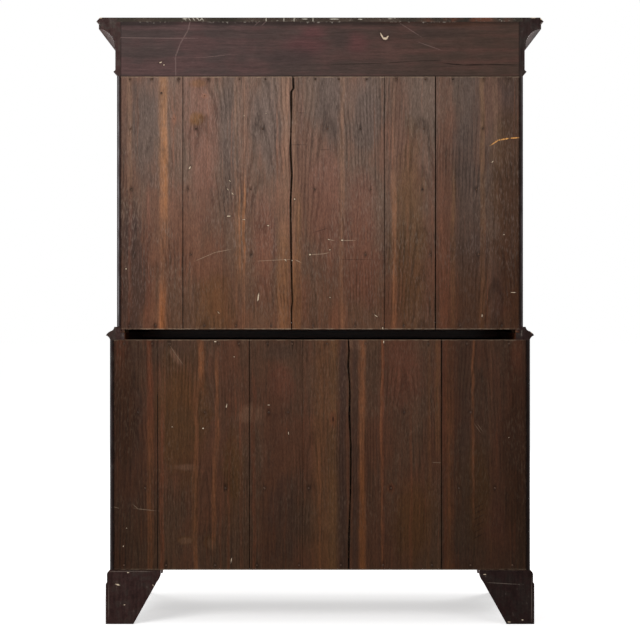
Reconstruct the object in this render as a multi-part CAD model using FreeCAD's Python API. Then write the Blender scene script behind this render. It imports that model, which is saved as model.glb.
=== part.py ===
import FreeCAD, Part
import math
import os

from FreeCAD import Vector

# A chest on chest: an upper case of five drawers stands on a lower case of three, and lifts off it.
# Lengths are in millimetres. X runs across the chest, with the right-hand side at +X as one faces
# the drawers, Y runs from the front to the back, and Z is up. The floor is at Z = 0.

# ---------------------------------------------------------------- cases
LOWER_WIDTH = 1200.0
LOWER_DEPTH = 560.0
WAIST_SETBACK = 20.0        # the upper case stands this far in from the lower one's front and sides
SIDE_THICKNESS = 20.0
LOWER_BOARD = 22.0          # top and bottom board of the lower case
UPPER_BOARD = 18.0          # bottom board of the upper case
UPPER_BOARD_RAISE = 9.0     # the upper sides run this far below their bottom board
UPPER_BEARER_WIDTH = 11.0   # strips under the upper bottom board, beside the sides
TOP_BOARD = 12.0            # dust cover on top of everything
FACING_DEPTH = 12.0         # show-wood strip along the front edge of a pine board
HOUSING_DEPTH = 6.0         # how far shelves and rails are let into the sides
BACK_REBATE_DEPTH = 14.0
BACK_LIP = 10.0             # what the rebate leaves of the sides' thickness

# ---------------------------------------------------------------- drawer openings, from the bottom up
LOWER_DRAWER_HEIGHTS = (204.0, 192.0, 180.0)
UPPER_DRAWER_HEIGHTS = (175.0, 164.0, 150.0)
SHORT_DRAWER_HEIGHT = 140.0
RAIL_THICKNESS = 20.0
RAIL_DEPTH = 70.0
TOP_RAIL_THICKNESS = 18.0
MUNTIN_WIDTH = 20.0
MUNTIN_TENON = 8.0
RUNNER_WIDTH = 45.0
CENTRE_RUNNER_WIDTH = 70.0
RUNNER_BACK_GAP = 2.0
GUIDE_HEIGHT = 18.0
DUST_BOARD = 8.0
DUST_GROOVE = 6.0
STOP_WIDTH = 30.0
STOP_DEPTH = 14.0
STOP_HEIGHT = 5.0
STOP_INSET = 90.0           # from the drawer's edge to the near edge of its stop
STOP_GAP = 0.4              # between the shut drawer front and its stops

# ---------------------------------------------------------------- drawers
DRAWER_SIDE_GAP = 1.5
DRAWER_TOP_GAP = 2.0
DRAWER_FOOT_GAP = 0.4
DRAWER_REAR_GAP = 15.0
FRONT_THICKNESS = 22.0
LINING = 10.0               # oak sides
LINING_DROP = 3.0           # the sides stop this far below the top of the front
DRAWER_BACK = 12.0
DRAWER_BACK_DROP = 8.0      # and the back this far below the sides
PANEL_THICKNESS = 7.0       # drawer bottom
PANEL_RAISE = 8.0
PANEL_GROOVE = 5.0
BEAD_THICKNESS = 3.0        # cockbead round each front
BEAD_SEAT = 9.0
BEAD_PROJECTION = 3.0
TAIL_LAP = 1.5              # front left between the dovetails' ends and the bead's seat
TAIL_PITCH = 42.0
TAIL_SLOPE = 1 / 6
PIN_NECK = 6.0              # narrow end of a dovetail pin

# ---------------------------------------------------------------- brasses
LONG_HANDLE_SPREAD = 680.0  # between the handles of a long drawer
SHORT_HANDLE_SPREAD = 300.0
BAIL_CENTRES = 90.0         # between the two posts of a handle
BAIL_RISE = 14.0            # the posts stand this far above the middle of the front
PIVOT_STANDOFF = 16.0       # from the front's face to the line the bail swings about
POST_HEAD_RADIUS = 6.0
POST_NECK_RADIUS = 3.5
SHANK_RADIUS = 2.5
SHANK_HOLE_GAP = 0.15
SHANK_END = 1.0             # thread that shows past the nut
NUT_WIDTH = 10.0
NUT_THICKNESS = 3.0
ROSE_RADIUS = 12.0
ROSE_RIM = 1.2
ROSE_CROWN = 3.0
ROSE_ROUND = 0.4            # softening of the rose's step
ROSE_STEP = 1.0
BAIL_PIN_RADIUS = 1.7
BAIL_PIN_GAP = 0.08
BAIL_HEAD_GAP = 1.0         # between a post's head and the neck of the bail
BAIL_RADIUS = 2.5
BAIL_SHOULDER = 4.0         # bends of the swan neck, from the pin to the grip
BAIL_THROAT = 9.0
BAIL_BREAST = 12.0
BAIL_LEAN = 50.0            # degrees from plumb at the middle of the neck
GRIP_RADIUS = 3.8
GRIP_SINK = 0.1             # the grip's ends are this much slimmer than the rod, so that they sink in it
LOCK_WIDTH = 64.0
LOCK_HEIGHT = 40.0
LOCK_THICKNESS = 10.0
LOCK_DROP = 5.0             # from the top of the front to the lock's case
BOLT_WIDTH = 20.0
BOLT_THICKNESS = 5.0
KEYHOLE_RADIUS = 3.0
KEYHOLE_SLOT = 3.0
KEYHOLE_DROP = 10.0
ESCUTCHEON_HALF_WIDTH = 11.0
ESCUTCHEON_HALF_HEIGHT = 17.0
ESCUTCHEON_THICKNESS = 1.2

# ---------------------------------------------------------------- waist moulding
SEAT_HEIGHT = 20.0          # the upper case sits this far above the lower one's top
SEAT_WIDTH = 21.0           # seat beyond the outer face of the upper case
SEAT_GAP = 0.3
LIP_GAP = 0.4
LIP_THICKNESS = 7.6
LIP_RISE = 36.5
WAIST_REACH = 11.5
WAIST_NOSE_HEIGHT = 13.0
WAIST_HOLLOW_HEIGHT = 25.6
WAIST_HOLLOW_DEPTH = 7.0    # from the lip's face out to the foot of the hollow
WAIST_NOSE_FLAT = 1.2
WAIST_COVE_OUT = 0.35       # middle of the cove under the nose, as shares of reach and height
WAIST_COVE_UP = 0.55
WAIST_SWELL = 1.4           # how far the slope over the nose swells out
LIP_HOLLOW_OUT = 2.2        # middle of the small hollow under the lip
LIP_HOLLOW_UP = 4.5

# ---------------------------------------------------------------- bead, frieze and cornice
BEAD_HEIGHT = 16.0
BEAD_REACH = 10.0
BEAD_NOSE_HEIGHT = 11.0
BEAD_UNDER_SHARE = 0.85     # reach of the bead just below and just above its nose
BEAD_UNDER_DROP = 2.0
BEAD_OVER_SHARE = 0.8
BEAD_OVER_RISE = 2.4
FRIEZE_THICKNESS = 5.0
FRIEZE_HEIGHT = 61.0
FRIEZE_BACKING = 20.0
CORNICE_HEIGHT = 89.0
CORNICE_REACH = 59.0
CORNICE_FOOT = 8.0          # small fillet below the cove
CORNICE_FOOT_RISE = 2.0
COVE_REACH = 38.0
COVE_HEIGHT = 54.0
COVE_BULGE = 0.29           # share of the cove's reach at the middle of its curve
FILLET_REACH = 52.0
FILLET_HEIGHT = 12.0
QUIRK_REACH = 50.0
QUIRK_HEIGHT = 5.0
NOSE_DROP = 11.4            # from the top of the cornice to its nose
TOP_BEVEL = 10.0

# ---------------------------------------------------------------- base moulding and bracket feet
BRACKET_HEIGHT = 115.0
BASE_HEIGHT = 38.0
BASE_STOCK = 22.0
FOOT_REACH = 12.5           # foot beyond the lower case
BASE_OVOLO_REACH = 9.0
BASE_OVOLO_HEIGHT = 14.0
BASE_HOLLOW_HEIGHT = 8.0
BASE_HOLLOW_SHARE = 0.3     # how far along its run and its rise the hollow's middle is
FOOT_TOE = 74.0             # width of a show bracket on the floor
FOOT_KNEE = 108.0           # and at its knee
FOOT_KNEE_HEIGHT = 66.0
FOOT_SPUR = 5.0
ARCH_TIP = 3.0              # wood left over the end of a bracket's arch
BRACE_THICKNESS = 19.0      # plain board behind a back foot
BRACE_TOE = 79.0
BRACE_SHOULDER = 146.0
BRACE_SHOULDER_HEIGHT = 120.0
BRACE_TOP = 157.0
BRACE_CURVE_SHARE = 0.75    # middle of the curve above the brace's shoulder
BRACE_CURVE_DROP = 3.0
BLOCK_SIZE = 30.0           # glue blocks in the feet, and bearers under the case
BLOCK_CLEARANCE = 4.0

# ---------------------------------------------------------------- back boards
BACK_BOARD = 12.0
BACK_BOARD_SHORT = 2.0      # the lower back boards stop this far above the underside of the case
BACK_RAIL_HEIGHT = 156.0
# Joints between the boards: the place as a share of the way from the middle to the boards' edge, and the gap.
UPPER_BACK_JOINTS = ((0.6877, 0.8), (0.3842, 0.5), (-0.3228, 0.8), (-0.5789, 2.0))
LOWER_BACK_JOINTS = ((0.7864, 0.8), (0.3424, 1.2), (0.0839, 0.4), (-0.5881, 1.8))
SPLIT_WIDTH = 2.4
# Points up a split: the height as a share of the boards' height, and the place as for the joints.
UPPER_SPLIT = ((0, 0.1421), (0.0788, 0.143), (0.1107, 0.1386), (0.1853, 0.1418), (0.325, 0.1451),
               (0.5007, 0.1479), (0.61, 0.1414), (0.7082, 0.1484), (0.8326, 0.1439), (0.9391, 0.1444),
               (0.953, 0.133), (1, 0.1358))
LOWER_SPLIT = ((0, -0.139), (0.0973, -0.1397), (0.1672, -0.141), (0.2508, -0.1439), (0.3343, -0.1476),
               (0.538, -0.1492), (0.6717, -0.142), (0.7568, -0.1447), (0.8267, -0.1422),
               (0.8845, -0.1363), (0.9514, -0.1405), (1, -0.1373))

MARGIN = 1.0                # cutting shapes reach this far past what they cut

# ---------------------------------------------------------------- places that follow from the sizes
LOWER_HALF = LOWER_WIDTH / 2
UPPER_HALF = LOWER_HALF - WAIST_SETBACK
UPPER_DEPTH = LOWER_DEPTH - WAIST_SETBACK
BACK_Y = (UPPER_DEPTH + CORNICE_REACH) / 2
LOWER_FRONT = BACK_Y - LOWER_DEPTH
UPPER_FRONT = BACK_Y - UPPER_DEPTH
REBATE_FRONT = BACK_Y - BACK_REBATE_DEPTH
RUNNER_BACK = REBATE_FRONT - RUNNER_BACK_GAP

LOWER_FLOOR = BRACKET_HEIGHT + BASE_HEIGHT
LOWER_RAILS_HEIGHT = RAIL_THICKNESS * (len(LOWER_DRAWER_HEIGHTS) - 1)
LOWER_TOP = LOWER_FLOOR + sum(LOWER_DRAWER_HEIGHTS) + LOWER_RAILS_HEIGHT + 2 * LOWER_BOARD
UPPER_FLOOR = LOWER_TOP + SEAT_HEIGHT + SEAT_GAP
UPPER_DECK = UPPER_FLOOR + UPPER_BOARD_RAISE
UPPER_RAILS_HEIGHT = RAIL_THICKNESS * len(UPPER_DRAWER_HEIGHTS)
SHORT_DRAWER_FLOOR = UPPER_DECK + UPPER_BOARD + sum(UPPER_DRAWER_HEIGHTS) + UPPER_RAILS_HEIGHT
TOP_RAIL_BOTTOM = SHORT_DRAWER_FLOOR + SHORT_DRAWER_HEIGHT
FRIEZE_BOTTOM = TOP_RAIL_BOTTOM + TOP_RAIL_THICKNESS
CORNICE_BOTTOM = FRIEZE_BOTTOM + BEAD_HEIGHT + FRIEZE_HEIGHT
CHEST_TOP = CORNICE_BOTTOM + CORNICE_HEIGHT
UPPER_SIDE_TOP = CHEST_TOP - TOP_BOARD
BACK_RAIL_BOTTOM = UPPER_SIDE_TOP - BACK_RAIL_HEIGHT
TAIL_LENGTH = FRONT_THICKNESS - BEAD_SEAT - TAIL_LAP


def box(x0, x1, y0, y1, z0, z1):
    """A box between two corners."""
    return Part.makeBox(x1 - x0, y1 - y0, z1 - z0, Vector(x0, y0, z0))


def mirrored(shape):
    """The left-hand twin of a right-hand piece."""
    return shape.mirror(Vector(0, 0, 0), Vector(1, 0, 0))


def both_hands(shape):
    """A right-hand piece and its left-hand twin."""
    return [shape, mirrored(shape)]


def prism(corners, height):
    """A straight solid over a flat outline of 3-D corners, raised by a vector."""
    outline = Part.makePolygon(corners + corners[:1])
    return Part.Face(outline).extrude(height)


def curved_face(place, start, steps):
    """A face in the plane that place maps to; a step is an end point, or a pair: passed point, end point."""
    edges = []
    here = place(*start)
    for step in steps:
        if isinstance(step[0], tuple):
            end = place(*step[1])
            edges.append(Part.Arc(here, place(*step[0]), end).toShape())
        else:
            end = place(*step)
            edges.append(Part.makeLine(here, end))
        here = end
    edges.append(Part.makeLine(here, place(*start)))
    return Part.Face(Part.Wire(edges))


def export(node, solids):
    """Write one node; its solids stay separate."""
    shape = solids[0] if len(solids) == 1 else Part.makeCompound(solids)
    shape.exportStep(f"parts/{node}.step")


class Case:
    """A carcase: its outer faces, and the inner ones that shelves and drawers follow."""

    def __init__(self, half_width, front, floor, top):
        self.half_width = half_width
        self.front = front
        self.floor = floor
        self.top = top
        self.inner = half_width - SIDE_THICKNESS
        self.housed = self.inner + HOUSING_DEPTH
        self.shoulder = front + FACING_DEPTH
        self.rail_back = front + RAIL_DEPTH


LOWER = Case(LOWER_HALF, LOWER_FRONT, LOWER_FLOOR, LOWER_TOP)
UPPER = Case(UPPER_HALF, UPPER_FRONT, UPPER_FLOOR, UPPER_SIDE_TOP)


class Level:
    """A drawer rail with the runners behind it; a split level carries the two short drawers."""

    def __init__(self, bottom, thickness=RAIL_THICKNESS, dust=True, split=False):
        self.bottom = bottom
        self.top = bottom + thickness
        self.dust = dust
        self.split = split


class Drawer:
    """The outer faces of a shut drawer in its opening."""

    def __init__(self, name, case, left, right, floor, height, handle_spread=LONG_HANDLE_SPREAD):
        self.name = name
        self.floor = floor
        self.left = left + DRAWER_SIDE_GAP
        self.right = right - DRAWER_SIDE_GAP
        self.bottom = floor + DRAWER_FOOT_GAP
        self.top = floor + height - DRAWER_TOP_GAP
        self.face = case.front
        self.front_back = case.front + FRONT_THICKNESS
        self.back = REBATE_FRONT - DRAWER_REAR_GAP
        self.middle_x = (left + right) / 2
        self.pivot_y = self.face - PIVOT_STANDOFF
        self.pivot_z = (self.bottom + self.top) / 2 + BAIL_RISE
        self.handle_xs = (self.middle_x - handle_spread / 2, self.middle_x + handle_spread / 2)
        self.lining_top = self.top - LINING_DROP
        self.panel_bottom = self.bottom + PANEL_RAISE
        self.panel_top = self.panel_bottom + PANEL_THICKNESS
        self.back_top = self.lining_top - DRAWER_BACK_DROP
        self.lock_top = self.top - LOCK_DROP
        self.key_z = self.lock_top - LOCK_HEIGHT / 2


def stacked_drawers(case, names, heights, floor):
    """Long drawers from the bottom up, and the levels above each of them."""
    drawers = []
    levels = []
    for name, height in zip(names, heights):
        drawers.append(Drawer(name, case, -case.inner, case.inner, floor, height))
        levels.append(Level(floor + height))
        floor += height + RAIL_THICKNESS
    return drawers, levels


LOWER_NAMES = ("seventh_drawer", "sixth_drawer", "fifth_drawer")
UPPER_NAMES = ("fourth_drawer", "third_drawer", "second_drawer")
LOWER_DRAWERS, LOWER_LEVELS = stacked_drawers(
    LOWER, LOWER_NAMES, LOWER_DRAWER_HEIGHTS, LOWER_FLOOR + LOWER_BOARD)
LOWER_LEVELS = LOWER_LEVELS[:-1]  # the top board takes the place of the highest rail
LONG_DRAWERS, UPPER_LEVELS = stacked_drawers(
    UPPER, UPPER_NAMES, UPPER_DRAWER_HEIGHTS, UPPER_DECK + UPPER_BOARD)
UPPER_LEVELS[-1].split = True
UPPER_LEVELS.append(Level(TOP_RAIL_BOTTOM, TOP_RAIL_THICKNESS, dust=False, split=True))
SHORT_DRAWERS = [
    Drawer("first_left_drawer", UPPER, -UPPER.inner, -MUNTIN_WIDTH / 2, SHORT_DRAWER_FLOOR,
           SHORT_DRAWER_HEIGHT, SHORT_HANDLE_SPREAD),
    Drawer("first_right_drawer", UPPER, MUNTIN_WIDTH / 2, UPPER.inner, SHORT_DRAWER_FLOOR,
           SHORT_DRAWER_HEIGHT, SHORT_HANDLE_SPREAD),
]
UPPER_DRAWERS = LONG_DRAWERS + SHORT_DRAWERS


# ---------------------------------------------------------------- carcases
def side_board(case, housings):
    """The right-hand side, rebated for the back and grooved for all that is let into it."""
    board = box(case.inner, case.half_width, case.front, BACK_Y, case.floor, case.top)
    rebate_side = case.half_width - BACK_LIP
    board = board.cut(box(case.inner, rebate_side, REBATE_FRONT, BACK_Y, case.floor, case.top))
    for bottom, top in housings:
        board = board.cut(box(case.inner, case.housed, case.shoulder, REBATE_FRONT, bottom, top))
    return board


def housed_board(case, bottom, top, front, back):
    """A board between the sides whose ends are let into them, behind a shoulder at the front."""
    between = box(-case.inner, case.inner, front, back, bottom, top)
    tongue_front = max(front, case.shoulder)
    tongues = box(-case.housed, case.housed, tongue_front, back, bottom, top)
    return between.fuse(tongues).removeSplitter()


def facing(case, bottom, top):
    """Show-wood strip along the front edge of a pine board."""
    return box(-case.inner, case.inner, case.front, case.shoulder, bottom, top)


def runner_edge(case):
    """How far from the middle the side runners begin."""
    return case.inner - RUNNER_WIDTH


def dust_boards(case, level):
    """The thin boards that fill the space between a level's runners."""
    middle = (level.bottom + level.top) / 2
    low = middle - DUST_BOARD / 2
    high = middle + DUST_BOARD / 2
    outer = runner_edge(case) + DUST_GROOVE
    front = case.rail_back - DUST_GROOVE
    if not level.split:
        return [box(-outer, outer, front, RUNNER_BACK, low, high)]
    inner = CENTRE_RUNNER_WIDTH / 2 - DUST_GROOVE
    return both_hands(box(inner, outer, front, RUNNER_BACK, low, high))


def grooved(piece, case, level):
    """A rail or runner with the groove that its dust boards sit in."""
    if not level.dust:
        return piece
    return piece.cut(Part.makeCompound(dust_boards(case, level)))


def muntin(case):
    """The upright between the two short drawers, tenoned into the rails below and above."""
    half = MUNTIN_WIDTH / 2
    post = box(-half, half, case.front, case.rail_back, SHORT_DRAWER_FLOOR, TOP_RAIL_BOTTOM)
    low = SHORT_DRAWER_FLOOR - MUNTIN_TENON
    high = TOP_RAIL_BOTTOM + MUNTIN_TENON
    tenon = box(-half, half, case.shoulder, case.rail_back - MUNTIN_TENON, low, high)
    return post.fuse(tenon).removeSplitter()


def rail(case, level):
    """The bar between two drawers."""
    bar = housed_board(case, level.bottom, level.top, case.front, case.rail_back)
    bar = grooved(bar, case, level)
    return bar.cut(muntin(case)) if level.split else bar


def runners(case, level):
    """The strips that the drawers slide on, or that keep them from tipping."""
    edge = runner_edge(case)
    strip = box(edge, case.housed, case.rail_back, RUNNER_BACK, level.bottom, level.top)
    strips = both_hands(grooved(strip, case, level))
    if level.split:
        half = CENTRE_RUNNER_WIDTH / 2
        centre = box(-half, half, case.rail_back, RUNNER_BACK, level.bottom, level.top)
        strips.append(grooved(centre, case, level))
    return strips


def middle_guide(case):
    """The strip on the centre runner that keeps the short drawers straight."""
    half = MUNTIN_WIDTH / 2
    top = SHORT_DRAWER_FLOOR + GUIDE_HEIGHT
    return box(-half, half, case.rail_back, RUNNER_BACK, SHORT_DRAWER_FLOOR, top)


def drawer_stops(drawer):
    """Two low blocks that the back of a shut drawer's front comes up to."""
    front = drawer.front_back + STOP_GAP
    top = drawer.floor + STOP_HEIGHT
    stops = []
    for start in (drawer.left + STOP_INSET, drawer.right - STOP_INSET - STOP_WIDTH):
        stops.append(box(start, start + STOP_WIDTH, front, front + STOP_DEPTH, drawer.floor, top))
    return stops


def lower_case():
    """The lower carcase without its mouldings, feet and back."""
    bottom = (LOWER_FLOOR, LOWER_FLOOR + LOWER_BOARD)
    top = (LOWER_TOP - LOWER_BOARD, LOWER_TOP)
    levels = [(level.bottom, level.top) for level in LOWER_LEVELS]
    side = side_board(LOWER, [bottom, top] + levels)
    rails = [facing(LOWER, *bottom), facing(LOWER, *top)]
    shelves = []
    for level in LOWER_LEVELS:
        rails.append(rail(LOWER, level))
        shelves += runners(LOWER, level) + dust_boards(LOWER, level)
    for drawer in LOWER_DRAWERS:
        rails += drawer_stops(drawer)
    export("lower_side_right", [side])
    export("lower_side_left", [mirrored(side)])
    bottom_board = housed_board(LOWER, *bottom, LOWER.shoulder, REBATE_FRONT)
    export("lower_bottom_board", [bottom_board] + bearers())
    export("lower_top_board", [housed_board(LOWER, *top, LOWER.shoulder, REBATE_FRONT)])
    export("lower_drawer_rails", rails)
    export("lower_runners_and_dust_boards", shelves)


def upper_case():
    """The upper carcase without its mouldings and back."""
    deck = (UPPER_DECK, UPPER_DECK + UPPER_BOARD)
    levels = [(level.bottom, level.top) for level in UPPER_LEVELS]
    side = side_board(UPPER, [deck] + levels)
    rails = [facing(UPPER, *deck), muntin(UPPER)]
    shelves = [middle_guide(UPPER)]
    for level in UPPER_LEVELS:
        rails.append(rail(UPPER, level))
        shelves += runners(UPPER, level)
        if level.dust:
            shelves += dust_boards(UPPER, level)
    for drawer in UPPER_DRAWERS:
        rails += drawer_stops(drawer)
    bearer = box(UPPER.inner - UPPER_BEARER_WIDTH, UPPER.inner, UPPER.shoulder, REBATE_FRONT,
                 UPPER_FLOOR, UPPER_DECK)
    deck_board = housed_board(UPPER, *deck, UPPER.shoulder, REBATE_FRONT)
    top_board = box(-UPPER_HALF, UPPER_HALF, UPPER_FRONT, BACK_Y, UPPER_SIDE_TOP, CHEST_TOP)
    export("upper_side_right", [side])
    export("upper_side_left", [mirrored(side)])
    export("upper_bottom_board", [deck_board] + both_hands(bearer))
    export("upper_top_board", [top_board])
    export("upper_drawer_rails", rails)
    export("upper_runners_and_dust_boards", shelves)


# ---------------------------------------------------------------- back boards
def split_cutter(points, reach, bottom, top):
    """A thin wavy wall that follows a split up a board, from below its foot to above its head."""
    half = SPLIT_WIDTH / 2
    line = [(bottom + share * (top - bottom), place * reach) for share, place in points]
    line.insert(0, (bottom - MARGIN, line[0][1]))
    line.append((top + MARGIN, line[-1][1]))
    near = REBATE_FRONT - MARGIN
    right = [Vector(x + half, near, height) for height, x in line]
    left = [Vector(x - half, near, height) for height, x in reversed(line)]
    return prism(right + left, Vector(0, BACK_BOARD + 2 * MARGIN, 0))


def back_boards(case, bottom, top, joints, split):
    """Upright boards side by side in the back rebates, one of them split from end to end."""
    reach = case.half_width - BACK_LIP
    edge = reach
    outer = REBATE_FRONT + BACK_BOARD
    boards = []
    for place, gap in joints:
        boards.append(box(place * reach + gap / 2, edge, REBATE_FRONT, outer, bottom, top))
        edge = place * reach - gap / 2
    boards.append(box(-reach, edge, REBATE_FRONT, outer, bottom, top))
    cutter = split_cutter(split, reach, bottom, top)
    pieces = []
    for board in boards:
        pieces += board.cut(cutter).Solids
    return pieces


def back():
    """The back boards of both cases, and the rail behind the cornice."""
    lip = UPPER_HALF - BACK_LIP
    bottom = LOWER_FLOOR + BACK_BOARD_SHORT
    export("lower_back_boards", back_boards(LOWER, bottom, LOWER_TOP, LOWER_BACK_JOINTS, LOWER_SPLIT))
    export("upper_back_boards",
           back_boards(UPPER, UPPER_DECK, BACK_RAIL_BOTTOM, UPPER_BACK_JOINTS, UPPER_SPLIT))
    export("cornice_back_rail", [box(-lip, lip, REBATE_FRONT, BACK_Y, BACK_RAIL_BOTTOM, UPPER_SIDE_TOP)])


# ---------------------------------------------------------------- mouldings
def mitre_zones(case, outward, inward):
    """Two upright prisms that meet on the mitre: one holds the front run, one the right-hand run."""
    out = outward + MARGIN
    inn = inward + MARGIN
    low = -MARGIN
    half, front = case.half_width, case.front
    corner_out = Vector(half + out, front - out, low)
    corner_in = Vector(half - inn, front + inn, low)
    rise = Vector(0, 0, CHEST_TOP + 2 * MARGIN)
    left_out = Vector(-corner_out.x, corner_out.y, low)
    left_in = Vector(-corner_in.x, corner_in.y, low)
    back_out = Vector(corner_out.x, BACK_Y + MARGIN, low)
    back_in = Vector(corner_in.x, BACK_Y + MARGIN, low)
    front_zone = prism([corner_out, corner_in, left_in, left_out], rise)
    side_zone = prism([corner_out, corner_in, back_in, back_out], rise)
    return front_zone, side_zone


def moulding(case, bottom, outward, inward, start, steps):
    """A moulding along the front and both sides of a case, mitred at the corners.

    Its outline is given as distance out from the case's face and height above bottom.
    """
    front_zone, side_zone = mitre_zones(case, outward, inward)
    length = case.half_width + outward

    def on_front(out, height):
        return Vector(-length, case.front - out, bottom + height)

    def on_side(out, height):
        return Vector(case.half_width + out, BACK_Y, bottom + height)

    along_front = curved_face(on_front, start, steps).extrude(Vector(2 * length, 0, 0))
    along_side = curved_face(on_side, start, steps).extrude(Vector(0, case.front - outward - BACK_Y, 0))
    front_run = along_front.common(front_zone)
    side_run = along_side.common(side_zone)
    return [front_run] + both_hands(side_run)


def waist_moulding():
    """The frame on the lower case that the upper case stands in, with a raised lip."""
    lip_face = LIP_GAP - WAIST_SETBACK
    lip_out = lip_face + LIP_THICKNESS
    hollow = lip_out + WAIST_HOLLOW_DEPTH
    inward = WAIST_SETBACK + SEAT_WIDTH
    cove_middle = (WAIST_REACH * WAIST_COVE_OUT, WAIST_NOSE_HEIGHT * WAIST_COVE_UP)
    slope_middle = ((WAIST_REACH + hollow) / 2 + WAIST_SWELL,
                    (WAIST_NOSE_HEIGHT + WAIST_HOLLOW_HEIGHT) / 2 + WAIST_SWELL)
    lip_middle = (lip_out + LIP_HOLLOW_OUT, WAIST_HOLLOW_HEIGHT + LIP_HOLLOW_UP)
    steps = [
        (0, 0),
        (cove_middle, (WAIST_REACH, WAIST_NOSE_HEIGHT - WAIST_NOSE_FLAT)),
        (WAIST_REACH, WAIST_NOSE_HEIGHT),
        (slope_middle, (hollow, WAIST_HOLLOW_HEIGHT)),
        (lip_middle, (lip_out, LIP_RISE)),
        (lip_face, LIP_RISE),
        (lip_face, SEAT_HEIGHT),
        (-inward, SEAT_HEIGHT),
    ]
    export("waist_moulding", moulding(LOWER, LOWER_TOP, WAIST_REACH, inward, (-inward, 0), steps))


def frieze():
    """The plain band under the cornice with the small bead at its foot, and the board behind it."""
    under = (BEAD_REACH * BEAD_UNDER_SHARE, BEAD_NOSE_HEIGHT - BEAD_UNDER_DROP)
    over = (BEAD_REACH * BEAD_OVER_SHARE, BEAD_NOSE_HEIGHT + BEAD_OVER_RISE)
    top = BEAD_HEIGHT + FRIEZE_HEIGHT
    steps = [
        under,
        ((BEAD_REACH, BEAD_NOSE_HEIGHT), over),
        (FRIEZE_THICKNESS, BEAD_HEIGHT),
        (FRIEZE_THICKNESS, top),
        (0, top),
    ]
    backing = box(-UPPER.inner, UPPER.inner, UPPER_FRONT, UPPER_FRONT + FRIEZE_BACKING,
                  FRIEZE_BOTTOM, UPPER_SIDE_TOP)
    export("frieze", moulding(UPPER, FRIEZE_BOTTOM, BEAD_REACH, 0, (0, 0), steps) + [backing])


def cornice_moulding():
    """The cornice: a deep cove under a fillet, a quirk and a bevelled nose."""
    cove_top = CORNICE_FOOT_RISE + COVE_HEIGHT
    cove_edge = CORNICE_FOOT + COVE_REACH
    cove_middle = (CORNICE_FOOT + COVE_REACH * COVE_BULGE, CORNICE_FOOT_RISE + COVE_HEIGHT * (1 - COVE_BULGE))
    fillet_top = cove_top + FILLET_HEIGHT
    steps = [
        (FRIEZE_THICKNESS, 0),
        (CORNICE_FOOT, CORNICE_FOOT_RISE),
        (cove_middle, (cove_edge, cove_top)),
        (FILLET_REACH, cove_top),
        (FILLET_REACH, fillet_top),
        (QUIRK_REACH, fillet_top),
        (QUIRK_REACH, fillet_top + QUIRK_HEIGHT),
        (CORNICE_REACH, CORNICE_HEIGHT - NOSE_DROP),
        (CORNICE_REACH - TOP_BEVEL, CORNICE_HEIGHT),
        (0, CORNICE_HEIGHT),
    ]
    export("cornice_moulding", moulding(UPPER, CORNICE_BOTTOM, CORNICE_REACH, 0, (0, 0), steps))


def base_moulding():
    """The moulding between the lower case and its feet: an ovolo over a flat and a small hollow."""
    inward = BASE_STOCK - FOOT_REACH
    ovolo_foot = BASE_HEIGHT - BASE_OVOLO_HEIGHT
    slant = math.sqrt(0.5)
    ovolo_middle = (BASE_OVOLO_REACH * slant, ovolo_foot + BASE_OVOLO_HEIGHT * slant)
    hollow_middle = (BASE_OVOLO_REACH + (FOOT_REACH - BASE_OVOLO_REACH) * BASE_HOLLOW_SHARE,
                     BASE_HOLLOW_HEIGHT * BASE_HOLLOW_SHARE)
    steps = [
        (FOOT_REACH, 0),
        (hollow_middle, (BASE_OVOLO_REACH, BASE_HOLLOW_HEIGHT)),
        (BASE_OVOLO_REACH, ovolo_foot),
        (ovolo_middle, (0, BASE_HEIGHT)),
        (-inward, BASE_HEIGHT),
    ]
    export("base_moulding", moulding(LOWER, BRACKET_HEIGHT, FOOT_REACH, inward, (-inward, 0), steps))


# ---------------------------------------------------------------- feet
def bearers():
    """Strips under the lower case, behind the base moulding."""
    outer = LOWER_HALF + FOOT_REACH - BASE_STOCK
    front = LOWER_FRONT - FOOT_REACH + BASE_STOCK
    across = box(-outer, outer, front, front + BLOCK_SIZE, BRACKET_HEIGHT, LOWER_FLOOR)
    along = box(outer - BLOCK_SIZE, outer, front + BLOCK_SIZE, BACK_Y - BRACE_THICKNESS,
                BRACKET_HEIGHT, LOWER_FLOOR)
    return [across] + both_hands(along)


def bracket(place, depth):
    """A shaped bracket of a foot; place maps distance from the corner and height to a point."""
    arch = BRACKET_HEIGHT - ARCH_TIP - FOOT_KNEE_HEIGHT
    slant = math.sqrt(0.5)
    arch_end = FOOT_KNEE + FOOT_SPUR + arch
    arch_middle = (arch_end - arch * slant, FOOT_KNEE_HEIGHT + arch * slant)
    steps = [
        (FOOT_TOE, 0),
        (FOOT_KNEE, FOOT_KNEE_HEIGHT),
        (FOOT_KNEE + FOOT_SPUR, FOOT_KNEE_HEIGHT),
        (arch_middle, (arch_end, BRACKET_HEIGHT - ARCH_TIP)),
        (arch_end, BRACKET_HEIGHT),
        (0, BRACKET_HEIGHT),
    ]
    return curved_face(place, (0, 0), steps).extrude(depth)


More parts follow.
